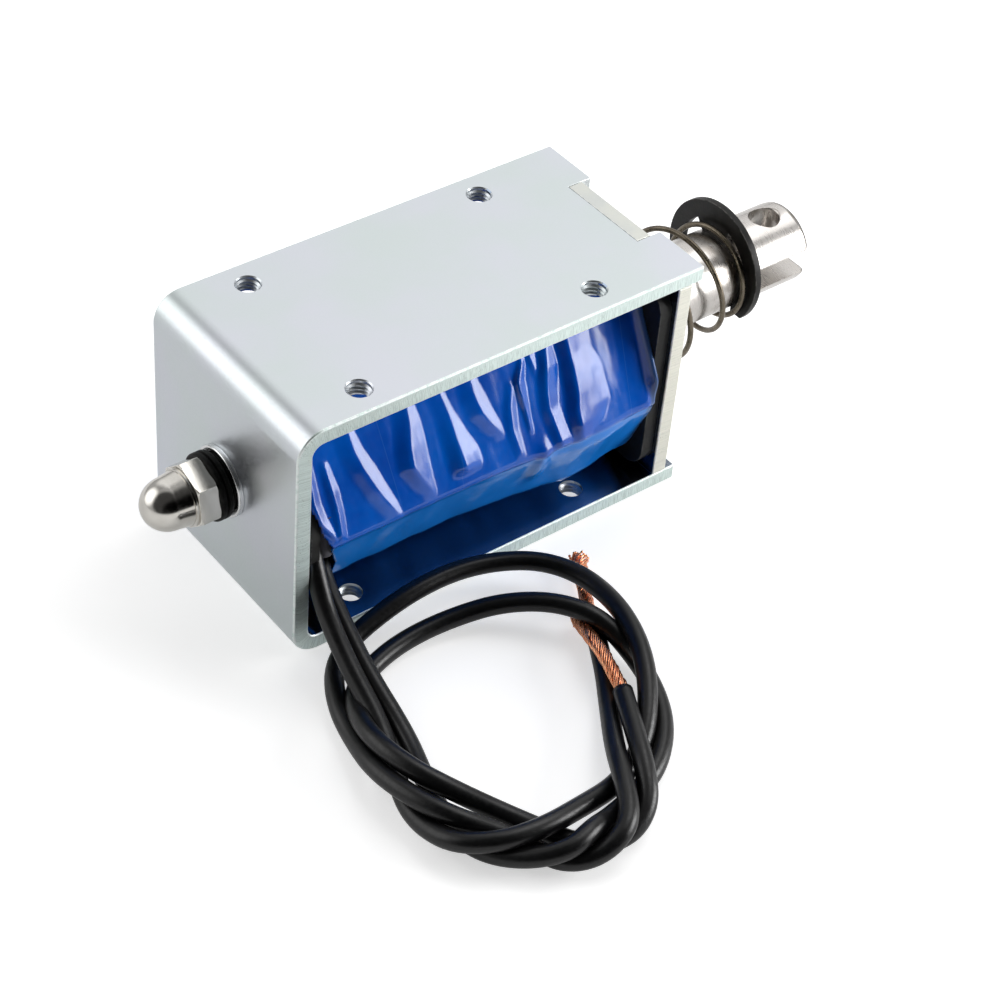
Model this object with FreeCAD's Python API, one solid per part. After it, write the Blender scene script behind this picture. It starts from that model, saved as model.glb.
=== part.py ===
"""Push pull solenoid: a U-frame, a coil on its bobbin, a sliding plunger and a conical return spring.

Millimetres. +X runs along the plunger towards the clevis, +Z up. The origin is the centre of the
base's hole pattern, on the underside of the frame. The open near side of the frame is -Y.
"""
import FreeCAD, Part
import math
import os
from FreeCAD import Vector

# Frame, bent from one sheet
frame_width = 40.0
frame_height = 45.0
sheet = 2.8
bend_inner_radius = 2.0
ear_overhang = 2.0
tab_half_width = 8.9
tab_clearance = 0.05

# Tapped holes in the base and the top, M4
hole_spacing_x = 45.0
hole_from_side = 5.0
hole_radius = 2.0
hole_chamfer = 0.2
hole_from_rear = 14.3

# Coil: bobbin, winding and tape
bobbin_length = 70.4
bobbin_wall = 1.0
flange_thickness = 2.5
flange_edge_gap = 1.0
flange_plate_gap = 1.5
flange_corner_radius = 4.0
flange_chamfer = 0.8
coil_side_gap = 0.7
coil_plate_gap = 0.4
coil_flat = 2.8
tape_thickness = 0.4
tape_end_gap = 0.2

# Lead joints under the tape, and the pocket that holds them
joint_radius = 1.8
joint_depth = 0.6
joint_a_from_flange = 2.0
joint_b_behind = 1.1
joint_b_beside = 3.6
joint_a_ends = (16.8, 25.0)
joint_b_ends = (15.0, 24.0)
pocket_length = 7.8
pocket_clearance = 0.3
lead_notch_height = 15.5
lead_notch_width = 3.6

# Guide tube and fixed core
guide_wall = 0.52
press_clearance = 0.05
core_clearance = 0.03
spigot_radius = 5.8
lip_radius = 6.05
lip_height = 0.95
lip_wall = 0.75
lip_bevel = 0.3
recess_depth = 1.25
shim_thickness = 0.5
shim_clearance = 0.4

# Plunger
plunger_radius = 7.25
plunger_clearance = 0.08
plunger_length = 84.4
plunger_reach = 41.2
plunger_chamfer = 0.6
stroke = 10.0
end_gap = 0.3
clip_groove_from_end = 15.3
clip_groove_width = 1.4
clip_groove_radius = 6.0
slot_width = 4.4
slot_depth = 12.5
pin_hole_radius = 2.75
pin_hole_from_end = 5.5
pin_hole_chamfer = 0.25

# Push rod and the stop stack on its rear end
rod_radius = 3.0
rod_clearance = 0.1
rod_screwed_in = 12.0
rod_in_nut = 7.4
washer_radius = 5.0
washer_thickness = 1.4
washer_clearance = 0.4
buffer_radius = 5.7
buffer_thickness = 2.2
buffer_rounding = 0.6
buffer_gap = 0.3
nut_across_flats = 10.0
nut_hex_height = 3.6
nut_bead_height = 0.6
nut_neck_height = 2.1
nut_dome_radius = 4.6
nut_bore_depth = 8.0
nut_chamfer = 0.5
nut_turn = 17.7

# E-clip
clip_thickness = 1.3
clip_radius = 11.25
clip_recess_radius = 8.0
clip_set_up = 1.2
clip_set_back = 0.8
clip_running_clearance = 0.05
clip_mouth = 10.45
clip_foot = 6.0
clip_top_lobe = 50.0
clip_side_lobe = 44.0

# Return spring
wire_radius = 0.55
spring_turns = 4.25
spring_foot_turns = 0.9
spring_head_turns = 0.4
spring_blend_turns = 0.45
spring_foot_rise = 1.2
spring_head_rise = 0.8
spring_foot_radius = 12.95
spring_head_radius = 8.45
spring_bulge = 1.4
spring_start_angle = 180.0
spring_seat_gap = 0.1
spring_points_per_turn = 12

# Leads: both lie in one loose coil in front of the open side, points chosen by hand along it
lead_radius = 1.6
strand_radius = 1.15
lead_a_route = [
    (-29.5, -16.5, 17.2), (-29.7, -17.2, 13.0), (-30.4, -19.2, 9.6), (-31.6, -23.4, 8.0),
    (-33.0, -29.3, 6.8), (-33.7, -35.3, 5.4), (-35.3, -41.7, 3.0), (-38.0, -48.5, 1.6),
    (-41.1, -57.1, 1.7), (-40.8, -65.7, 4.2), (-35.6, -70.6, 5.6), (-28.1, -71.9, 5.4),
    (-20.2, -70.8, 3.8), (-12.6, -69.2, 1.6), (-6.2, -66.8, 1.6), (-1.2, -63.2, 3.4),
    (4.2, -56.4, 5.2), (8.1, -48.7, 5.4), (9.9, -41.0, 5.2), (9.2, -33.5, 5.2),
    (5.6, -27.6, 5.2), (-0.8, -23.8, 5.2), (-8.0, -22.2, 5.4), (-15.8, -22.2, 5.2),
    (-22.8, -22.4, 3.6), (-29.0, -23.2, 1.8), (-34.2, -27.0, 1.6), (-37.7, -33.4, 1.6),
    (-39.4, -39.8, 1.7), (-41.5, -47.9, 4.0), (-40.9, -56.2, 5.4), (-38.0, -63.2, 5.4),
    (-32.6, -67.5, 2.8), (-29.6, -72.5, 1.6), (-27.5, -76.4, 1.6), (-24.0, -78.8, 2.8),
    (-19.9, -79.2, 4.8), (-16.4, -77.0, 5.6), (-12.8, -71.0, 5.6), (-9.1, -64.6, 4.2),
    (-3.1, -56.5, 1.7), (2.2, -48.7, 1.6), (5.9, -41.8, 1.6),
]
lead_b_route = [
    (-25.9, -15.4, 15.6), (-26.0, -16.6, 11.6), (-27.0, -19.6, 8.6), (-28.6, -24.4, 7.2),
    (-29.5, -29.8, 5.4), (-30.5, -36.3, 3.2), (-32.4, -44.0, 1.6), (-35.2, -52.5, 1.6),
    (-37.5, -60.9, 1.6), (-36.8, -67.7, 1.6), (-33.1, -73.6, 3.2), (-27.8, -77.2, 5.2),
    (-22.6, -76.0, 5.5), (-18.2, -74.4, 3.0), (-10.4, -72.2, 1.6), (-3.6, -69.2, 1.6),
    (2.0, -63.8, 1.6), (5.6, -57.0, 1.6), (7.3, -49.0, 1.9), (5.6, -42.9, 5.2),
    (1.7, -36.5, 5.4), (-4.6, -31.2, 4.2), (-11.8, -28.2, 2.4), (-19.6, -27.4, 1.7),
    (-26.8, -28.6, 1.6), (-33.1, -31.5, 1.6), (-36.9, -36.6, 3.4), (-39.6, -44.8, 6.4),
    (-38.5, -52.6, 6.6), (-35.0, -58.7, 5.2), (-30.2, -63.6, 2.2), (-26.8, -69.4, 1.6),
    (-23.9, -74.9, 1.6), (-20.0, -77.3, 1.6), (-15.4, -77.6, 2.0), (-11.4, -75.6, 3.8),
    (-8.6, -71.0, 5.2), (-6.2, -66.4, 5.4), (-3.5, -61.3, 5.0), (-1.2, -57.0, 4.7),
]
conductor_a_route = [
    lead_a_route[-1], (7.5, -38.8, 1.6), (9.6, -34.8, 1.6), (12.2, -30.4, 1.6), (14.6, -27.2, 1.5),
]
conductor_b_route = [
    lead_b_route[-1], (0.0, -53.4, 4.9), (1.2, -49.5, 4.9), (2.3, -45.2, 4.2), (3.8, -41.2, 2.9),
    (5.0, -38.2, 1.6),
]

# Places along X worked out from the sizes above
rear_face = -(hole_from_rear + hole_spacing_x / 2)
wall_inner = rear_face + sheet
plate_rear = wall_inner + bobbin_length
plate_front = plate_rear + sheet
frame_front = plate_front + ear_overhang
frame_length = frame_front - rear_face
hole_spacing_y = frame_width - 2 * hole_from_side
plunger_outer = plate_front + plunger_reach
plunger_inner = plunger_outer - plunger_length
core_front = plunger_inner - stroke - end_gap - shim_thickness
clip_middle = plunger_outer - clip_groove_from_end
washer_front = rear_face - lip_height + recess_depth
washer_rear = washer_front - washer_thickness
buffer_front = washer_rear - buffer_gap
nut_front = buffer_front - buffer_thickness
rod_rear = nut_front - rod_in_nut
rod_front = plunger_inner + rod_screwed_in

# Sections worked out from the sizes above
axis_height = frame_height / 2
guide_inner_radius = plunger_radius + plunger_clearance
guide_outer_radius = guide_inner_radius + guide_wall
barrel_inner_radius = guide_outer_radius + press_clearance
barrel_outer_radius = barrel_inner_radius + bobbin_wall
tape_half_y = frame_width / 2 - coil_side_gap
tape_half_z = frame_height / 2 - sheet - coil_plate_gap
tape_corner_radius = min(tape_half_y, tape_half_z) - coil_flat
joint_a_place = (wall_inner + flange_thickness + joint_a_from_flange,
                 -(tape_half_y - tape_thickness - joint_depth - joint_radius))
joint_b_place = (joint_a_place[0] + joint_b_beside, joint_a_place[1] + joint_b_behind)

ALONG_X = Vector(1, 0, 0)
UP = Vector(0, 0, 1)


def block(x0, x1, y0, y1, z0, z1):
    """A box between two corners."""
    return Part.makeBox(x1 - x0, y1 - y0, z1 - z0, Vector(x0, y0, z0))


def rod_along_x(radius, x0, x1):
    """A round bar on the plunger's axis."""
    return Part.makeCylinder(radius, x1 - x0, Vector(x0, 0, axis_height), ALONG_X)


def post(radius, x, y, z0, z1):
    """An upright round bar."""
    return Part.makeCylinder(radius, z1 - z0, Vector(x, y, z0), UP)


def turned(profile):
    """A solid turned about the plunger's axis from (x, radius) corners."""
    corners = [Vector(x, 0, axis_height + radius) for x, radius in profile]
    face = Part.Face(Part.makePolygon(corners + corners[:1]))
    return face.revolve(Vector(0, 0, axis_height), ALONG_X, 360)


def ring(outer_radius, inner_radius, x0, x1):
    """A plain ring or sleeve on the plunger's axis."""
    return rod_along_x(outer_radius, x0, x1).cut(rod_along_x(inner_radius, x0 - 1, x1 + 1))


def rounded_prism(half_y, half_z, corner_radius, x0, x1):
    """A bar along X with a rounded rectangular section, centred on the plunger's axis."""
    bar = block(x0, x1, -half_y, half_y, axis_height - half_z, axis_height + half_z)
    edges = [e for e in bar.Edges if abs(e.tangentAt(e.FirstParameter).x) > 0.99]
    return bar.makeFillet(corner_radius, edges)


def edges_along_y(solid, x):
    """The solid's edges that run along Y at one place along X."""
    return [e for e in solid.Edges
            if abs(e.tangentAt(e.FirstParameter).y) > 0.99 and abs(e.CenterOfMass.x - x) < 1e-6]


def tapped_hole(x, y, outer_z, inner_z):
    """One tapped hole through a plate, with a small chamfer at its outer face."""
    inwards = Vector(0, 0, 1 if inner_z > outer_z else -1)
    depth = abs(inner_z - outer_z)
    hole = Part.makeCylinder(hole_radius, depth, Vector(x, y, outer_z), inwards)
    chamfer = Part.makeCone(hole_radius + hole_chamfer, hole_radius, hole_chamfer,
                            Vector(x, y, outer_z), inwards)
    return hole.fuse(chamfer)


def path_through(points):
    """Straight runs along the points, joined by tangent arcs, with its length and its arcs' radii."""
    points = [Vector(*p) for p in points]
    edges, radii, length, start = [], [], 0.0, points[0]
    for before, corner, after in zip(points, points[1:], points[2:]):
        back, ahead = before - corner, after - corner
        reach = 0.45 * min(back.Length, ahead.Length)
        half_turn = (math.pi - back.getAngle(ahead)) / 2
        back.normalize()
        ahead.normalize()
        arc_start, arc_end = corner + back * reach, corner + ahead * reach
        radius = reach / math.tan(half_turn)
        to_centre = (back + ahead).normalize()
        middle = corner + to_centre * (radius / math.cos(half_turn) - radius)
        edges.append(Part.LineSegment(start, arc_start).toShape())
        edges.append(Part.Arc(arc_start, middle, arc_end).toShape())
        length += (arc_start - start).Length + 2 * radius * half_turn
        radii.append(radius)
        start = arc_end
    edges.append(Part.LineSegment(start, points[-1]).toShape())
    return Part.Wire(edges), length + (points[-1] - start).Length, radii


def tube_along(name, points, radius):
    """A round solid along a path of runs and tangent arcs."""
    path, length, radii = path_through(points)
    first, second = Vector(*points[0]), Vector(*points[1])
    section = Part.Wire(Part.makeCircle(radius, first, second - first))
    solid = path.makePipeShell([section], True, False)
    wanted = math.pi * radius ** 2 * length
    print("%s: length %.1f, volume %.4f of section times length, smallest radii %s"
          % (name, length, solid.Volume / wanted, sorted(round(r, 1) for r in radii)[:6]))
    return solid


# The frame and what closes it

def make_frame():
    shell = block(rear_face, frame_front, -frame_width / 2, frame_width / 2, 0, frame_height)
    shell = shell.makeFillet(bend_inner_radius + sheet, edges_along_y(shell, rear_face))
    inside = block(wall_inner, frame_front + 1, -frame_width, frame_width, sheet, frame_height - sheet)
    inside = inside.makeFillet(bend_inner_radius, edges_along_y(inside, wall_inner))
    frame = shell.cut(inside)
    notch = block(plate_rear, frame_front + 1, -tab_half_width, tab_half_width, -1, frame_height + 1)
    frame = frame.cut(notch)
    for x in (-hole_spacing_x / 2, hole_spacing_x / 2):
        for y in (-hole_spacing_y / 2, hole_spacing_y / 2):
            frame = frame.cut(tapped_hole(x, y, 0, sheet))
            frame = frame.cut(tapped_hole(x, y, frame_height, frame_height - sheet))
    return frame.cut(rod_along_x(spigot_radius + press_clearance, rear_face - 1, wall_inner + 1))


def make_front_plate():
    half_width = frame_width / 2
    plate = block(plate_rear, plate_front, -half_width, half_width, sheet, frame_height - sheet)
    tab_half = tab_half_width - tab_clearance
    tabs = block(plate_rear, plate_front, -tab_half, tab_half, 0, frame_height)
    bore = rod_along_x(guide_outer_radius + press_clearance, plate_rear - 1, plate_front + 1)
    return plate.fuse(tabs).removeSplitter().cut(bore)


# The fixed core, its shim and the tube that guides the plunger

def make_fixed_core():
    body_radius = guide_inner_radius - core_clearance
    lip_inner_radius = lip_radius - lip_wall
    lip_rear = rear_face - lip_height
    bore_radius = rod_radius + rod_clearance
    return turned([
        (core_front, bore_radius), (core_front, body_radius), (wall_inner, body_radius),
        (wall_inner, spigot_radius), (rear_face, spigot_radius), (rear_face, lip_radius),
        (lip_rear + lip_bevel, lip_radius), (lip_rear, lip_radius - lip_bevel),
        (lip_rear, lip_inner_radius), (washer_front, lip_inner_radius), (washer_front, bore_radius),
    ])


def make_gap_shim():
    return ring(guide_inner_radius - shim_clearance, rod_radius + shim_clearance,
                core_front, core_front + shim_thickness)


def make_guide_tube():
    return ring(guide_outer_radius, guide_inner_radius, wall_inner, plate_front)


# The coil

def make_flange(x0):
    half_y = frame_width / 2 - flange_edge_gap
    half_z = frame_height / 2 - sheet - flange_plate_gap
    return rounded_prism(half_y, half_z, flange_corner_radius, x0, x0 + flange_thickness)


def make_bobbin():
    barrel = rod_along_x(barrel_outer_radius, wall_inner, plate_rear)
    rear = make_flange(wall_inner)
    rear = rear.makeChamfer(flange_chamfer, edges_along_y(rear, wall_inner))
    notch_y = -(frame_width / 2 - flange_edge_gap)
    notch = block(wall_inner - 1, wall_inner + flange_thickness + 1,
                  notch_y - 1, notch_y + lead_notch_width, sheet, lead_notch_height)
    bobbin = barrel.fuse(rear.cut(notch)).fuse(make_flange(plate_rear - flange_thickness))
    return bobbin.removeSplitter().cut(rod_along_x(barrel_inner_radius, wall_inner - 1, plate_rear + 1))


def lead_pocket():
    """The space under the tape that holds the lead joints, open at the bottom."""
    flange_face = wall_inner + flange_thickness
    behind = joint_b_place[1] + joint_radius + pocket_clearance
    return block(flange_face - 1, flange_face + pocket_length, -frame_width, behind,
                 0, max(joint_a_ends[1], joint_b_ends[1]) + pocket_clearance)


def make_winding():
    x0, x1 = wall_inner + flange_thickness, plate_rear - flange_thickness
    coil = rounded_prism(tape_half_y - tape_thickness, tape_half_z - tape_thickness,
                         tape_corner_radius - tape_thickness, x0, x1)
    return coil.cut(rod_along_x(barrel_outer_radius, x0 - 1, x1 + 1)).cut(lead_pocket())


def make_tape_wrap():
    """The tape's outer layer, cut back at its rear end where the leads come out."""
    x0 = wall_inner + flange_thickness + tape_end_gap
    x1 = plate_rear - flange_thickness - tape_end_gap
    outer = rounded_prism(tape_half_y, tape_half_z, tape_corner_radius, x0, x1)
    inner = rounded_prism(tape_half_y - tape_thickness, tape_half_z - tape_thickness,
                          tape_corner_radius - tape_thickness, x0 - 1, x1 + 1)
    pocket_end = wall_inner + flange_thickness + pocket_length
    corners = [(x0 - 1, 0), (pocket_end, 0), (pocket_end, joint_b_ends[0] - 1.0),
               (joint_b_place[0], joint_b_ends[0] + 1.5), (x0 - 1, joint_a_ends[0] + 4.2)]
    outline = [Vector(x, -frame_width, z) for x, z in corners]
    lead_exit = Part.Face(Part.makePolygon(outline + outline[:1])).extrude(Vector(0, frame_width, 0))
    return outer.cut(inner).cut(lead_exit)


def make_lead_joint(place, ends):
    return post(joint_radius, place[0], place[1], ends[0], ends[1])


# What moves: plunger, rod and the stop stack

def make_plunger():
    inner, outer, edge = plunger_inner, plunger_outer, plunger_chamfer
    groove_rear = clip_middle - clip_groove_width / 2
    groove_front = clip_middle + clip_groove_width / 2
    body = turned([
        (inner, 0), (inner, plunger_radius - edge), (inner + edge, plunger_radius),
        (groove_rear, plunger_radius), (groove_rear, clip_groove_radius),
        (groove_front, clip_groove_radius), (groove_front, plunger_radius),
        (outer - edge, plunger_radius), (outer, plunger_radius - edge), (outer, 0),
    ])
    body = body.cut(rod_along_x(rod_radius, inner - 1, inner + rod_screwed_in))
    slot = block(outer - slot_depth, outer + 1, -frame_width, frame_width,
                 axis_height - slot_width / 2, axis_height + slot_width / 2)
    pin_x = outer - pin_hole_from_end
    body = body.cut(slot).cut(post(pin_hole_radius, pin_x, 0, 0, frame_height))
    for side in (-1, 1):
        rim = Vector(pin_x, 0, axis_height + side * plunger_radius)
        flare = Part.makeCone(pin_hole_radius + pin_hole_chamfer, pin_hole_radius, pin_hole_chamfer,
                              rim, Vector(0, 0, -side))
        body = body.cut(flare)
    return body


def make_push_rod():
    return rod_along_x(rod_radius, rod_rear, rod_front)


def make_seat_washer():
    return ring(washer_radius, rod_radius + washer_clearance, washer_rear, washer_front)


def make_stop_buffer():
    disc = rod_along_x(buffer_radius, nut_front, buffer_front)
    rims = [e for e in disc.Edges if e.Curve.TypeId == "Part::GeomCircle"]
    disc = disc.makeFillet(buffer_rounding, rims)
    return disc.cut(rod_along_x(rod_radius, nut_front - 1, buffer_front + 1))


def make_acorn_nut():
    """A dome nut: chamfered hexagon, a bead, a short neck and half a sphere, with a blind bore."""
    corner_radius = nut_across_flats / math.sqrt(3)
    hex_rear = nut_front - nut_hex_height
    bead_rear = hex_rear - nut_bead_height
    neck_rear = bead_rear - nut_neck_height
    corners = []
    for step in range(6):
        angle = math.radians(nut_turn + 60 * step)
        corners.append(Vector(hex_rear, corner_radius * math.cos(angle),
                              axis_height + corner_radius * math.sin(angle)))
    hexagon = Part.Face(Part.makePolygon(corners + corners[:1])).extrude(Vector(nut_hex_height, 0, 0))
    crowned = turned([
        (nut_front, 0), (nut_front, corner_radius - nut_chamfer),
        (nut_front - nut_chamfer / 2, corner_radius), (hex_rear + nut_chamfer / 2, corner_radius),
        (hex_rear, corner_radius - nut_chamfer), (hex_rear, 0),
    ])
    bead = rod_along_x(nut_dome_radius + nut_chamfer / 2, bead_rear, hex_rear)
    neck = rod_along_x(nut_dome_radius, neck_rear, bead_rear)
    dome = Part.makeSphere(nut_dome_radius, Vector(neck_rear, 0, axis_height))
    nut = hexagon.common(crowned).fuse(bead).fuse(neck).fuse(dome).removeSplitter()
    return nut.cut(rod_along_x(rod_radius, nut_front - nut_bore_depth, nut_front + 1))


def sector(radius, middle_angle, width, x0, x1):
    """A pie slice about the plunger's axis, its angle counted from +Y towards +Z."""
    slice_ = Part.makeCylinder(radius, x1 - x0, Vector(x0, 0, axis_height), ALONG_X, width)
    start = slice_.BoundBox.Center - Vector(0, 0, axis_height)
    bearing = math.degrees(math.atan2(start.z, start.y))
    slice_.rotate(Vector(0, 0, axis_height), ALONG_X, middle_angle - bearing)
    return slice_


def make_e_clip():
    """A C with its mouth down, thicker at the top, and three lobes that reach into the groove."""
    x0, x1 = clip_middle - clip_thickness / 2, clip_middle + clip_thickness / 2
    bore_radius = clip_groove_radius + clip_running_clearance
    clip = ring(clip_radius, clip_recess_radius, x0, x1)
    clip.translate(Vector(0, clip_set_back, clip_set_up))
    lobe_radius = clip_recess_radius + math.hypot(clip_set_back, clip_set_up) + 0.1
    for middle, width in ((90, clip_top_lobe), (-28, clip_side_lobe), (208, clip_side_lobe)):
        clip = clip.fuse(sector(lobe_radius, middle, width, x0, x1))
    clip = clip.cut(rod_along_x(bore_radius, x0 - 1, x1 + 1))
    mouth = block(x0 - 1, x1 + 1, -clip_mouth / 2, clip_mouth / 2,
                  axis_height - 2 * clip_radius, axis_height)
    below = block(x0 - 1, x1 + 1, -2 * clip_radius, 2 * clip_radius,
                  axis_height - 2 * clip_radius, axis_height - clip_foot)
    return clip.cut(mouth).cut(below).removeSplitter()


# The return spring

def spring_points():
    """Points along the spring's wire: two closing ends joined by open coils that narrow to the clip."""
    start_x = plate_front + spring_seat_gap + wire_radius
    end_x = clip_middle - clip_thickness / 2 - spring_seat_gap - wire_radius
    open_turns = spring_turns - spring_foot_turns - spring_head_turns - 2 * spring_blend_turns
    ends_rise = (spring_foot_rise * (spring_foot_turns + spring_blend_turns / 2)
                 + spring_head_rise * (spring_head_turns + spring_blend_turns / 2))
    pitch = (end_x - start_x - ends_rise) / (open_turns + spring_blend_turns)

    def rise_per_turn(turn):
        from_foot = (turn - spring_foot_turns) / spring_blend_turns
        from_head = (spring_turns - spring_head_turns - turn) / spring_blend_turns
        foot_share = min(max(from_foot, 0), 1)
        head_share = min(max(from_head, 0), 1)
        if foot_share < 1:
            return spring_foot_rise + (pitch - spring_foot_rise) * foot_share
        return spring_head_rise + (pitch - spring_head_rise) * head_share

    count = round(spring_turns * spring_points_per_turn)
    step = spring_turns / count
    points, x = [], start_x
    for index in range(count + 1):
        share = (x - start_x) / (end_x - start_x)
        narrowing = max(share, 0) ** spring_bulge
        radius = spring_foot_radius + (spring_head_radius - spring_foot_radius) * narrowing
        angle = math.radians(spring_start_angle + 360 * step * index)
        points.append((x, radius * math.cos(angle), axis_height + radius * math.sin(angle)))
        x += rise_per_turn((index + 0.5) * step) * step
    return points


nodes = {
    "frame": make_frame(),
    "front_plate": make_front_plate(),
    "fixed_core": make_fixed_core(),
    "gap_shim": make_gap_shim(),
    "guide_tube": make_guide_tube(),
    "bobbin": make_bobbin(),
    "winding": make_winding(),
    "tape_wrap": make_tape_wrap(),
    "lead_joint_a": make_lead_joint(joint_a_place, joint_a_ends),
    "lead_joint_b": make_lead_joint(joint_b_place, joint_b_ends),
    "plunger": make_plunger(),
    "push_rod": make_push_rod(),
    "seat_washer": make_seat_washer(),
    "stop_buffer": make_stop_buffer(),
    "acorn_nut": make_acorn_nut(),
    "e_clip": make_e_clip(),
    "return_spring": tube_along("return_spring", spring_points(), wire_radius),
    "lead_a": tube_along("lead_a", lead_a_route, lead_radius),
    "lead_b": tube_along("lead_b", lead_b_route, lead_radius),
    "lead_a_conductor": tube_along("lead_a_conductor", conductor_a_route, strand_radius),
    "lead_b_conductor": tube_along("lead_b_conductor", conductor_b_route, strand_radius),
}

os.makedirs("parts", exist_ok=True)
for name, shape in nodes.items():
    box = shape.BoundBox
    print("%-18s solids %d valid %s volume %9.2f  x %.2f %.2f  y %.2f %.2f  z %.2f %.2f"
          % (name, len(shape.Solids), shape.isValid(), shape.Volume,
             box.XMin, box.XMax, box.YMin, box.YMax, box.ZMin, box.ZMax))
    shape.exportStep("parts/%s.step" % name)
print("frame length %.1f, clevis pin at x %.2f" % (frame_length, plunger_outer - pin_hole_from_end))
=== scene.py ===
"""Push pull solenoid, dressed: the bent frame, the taped coil, the plunger with its clip and spring,
the dome nut on the push rod and the two loose leads, in a plain pale studio.

Meshes are drawn in millimetres on the part's own axes, +X along the plunger and +Z up, and become
metres when a piece is finished.
"""
from __future__ import annotations

import logging
import math
import random
from dataclasses import dataclass, field
from enum import Enum
from typing import Callable, Optional, Sequence, Union

import bmesh
import bpy
from mathutils import Matrix, Vector, noise

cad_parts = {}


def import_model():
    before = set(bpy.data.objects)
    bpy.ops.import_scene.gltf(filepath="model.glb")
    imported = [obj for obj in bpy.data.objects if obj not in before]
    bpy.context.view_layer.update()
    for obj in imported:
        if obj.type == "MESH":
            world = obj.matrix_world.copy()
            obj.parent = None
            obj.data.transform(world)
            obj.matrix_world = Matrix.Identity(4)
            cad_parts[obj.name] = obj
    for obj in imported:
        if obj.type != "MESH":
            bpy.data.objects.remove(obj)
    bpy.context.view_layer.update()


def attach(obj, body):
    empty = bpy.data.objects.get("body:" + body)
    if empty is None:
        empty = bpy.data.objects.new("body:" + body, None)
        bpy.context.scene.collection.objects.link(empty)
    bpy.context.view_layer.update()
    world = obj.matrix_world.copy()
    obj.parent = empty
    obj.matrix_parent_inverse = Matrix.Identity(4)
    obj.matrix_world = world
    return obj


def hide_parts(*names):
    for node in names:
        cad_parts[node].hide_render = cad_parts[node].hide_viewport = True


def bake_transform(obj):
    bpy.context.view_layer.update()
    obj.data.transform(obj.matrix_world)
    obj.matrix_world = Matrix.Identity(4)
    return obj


LOG = logging.getLogger("solenoid")
MM = 0.001
AXIS = Vector((0.0, 0.0, 22.5))
NODE_MERGE = 0.002
NODE_FLATNESS = math.radians(0.3)
CURVE_SEAM = 1e-7

Colour = tuple[float, float, float]
Point = tuple[float, float, float]
Output = bpy.types.NodeSocket
Socket = Union[Output, float, tuple]


class Body(str, Enum):
    """The CAD bodies that pieces ride on."""

    FRAME = "frame"
    CLIP = "clip"
    ARMATURE = "armature"


class Layer(str, Enum):
    """The attributes that a draft carries for its finish."""

    RIM = "rim"
    CUT = "cut"
    RUN = "run"
    LAP = "lap"
    INNER = "inner"


def ramp(value: float, start: float, end: float) -> float:
    """The share of the way from start to end, held between 0 and 1."""
    return min(max((value - start) / (end - start), 0.0), 1.0)


def eased(share: float) -> float:
    """A share made to start and stop smoothly."""
    return share * share * (3 - 2 * share)


def swell(offset: float, half_width: float, power: int = 2) -> float:
    """A round bump, 1 in its middle and nearly 0 past its half width."""
    return math.exp(-(offset / half_width) ** power)


# Drawing pieces

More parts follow.
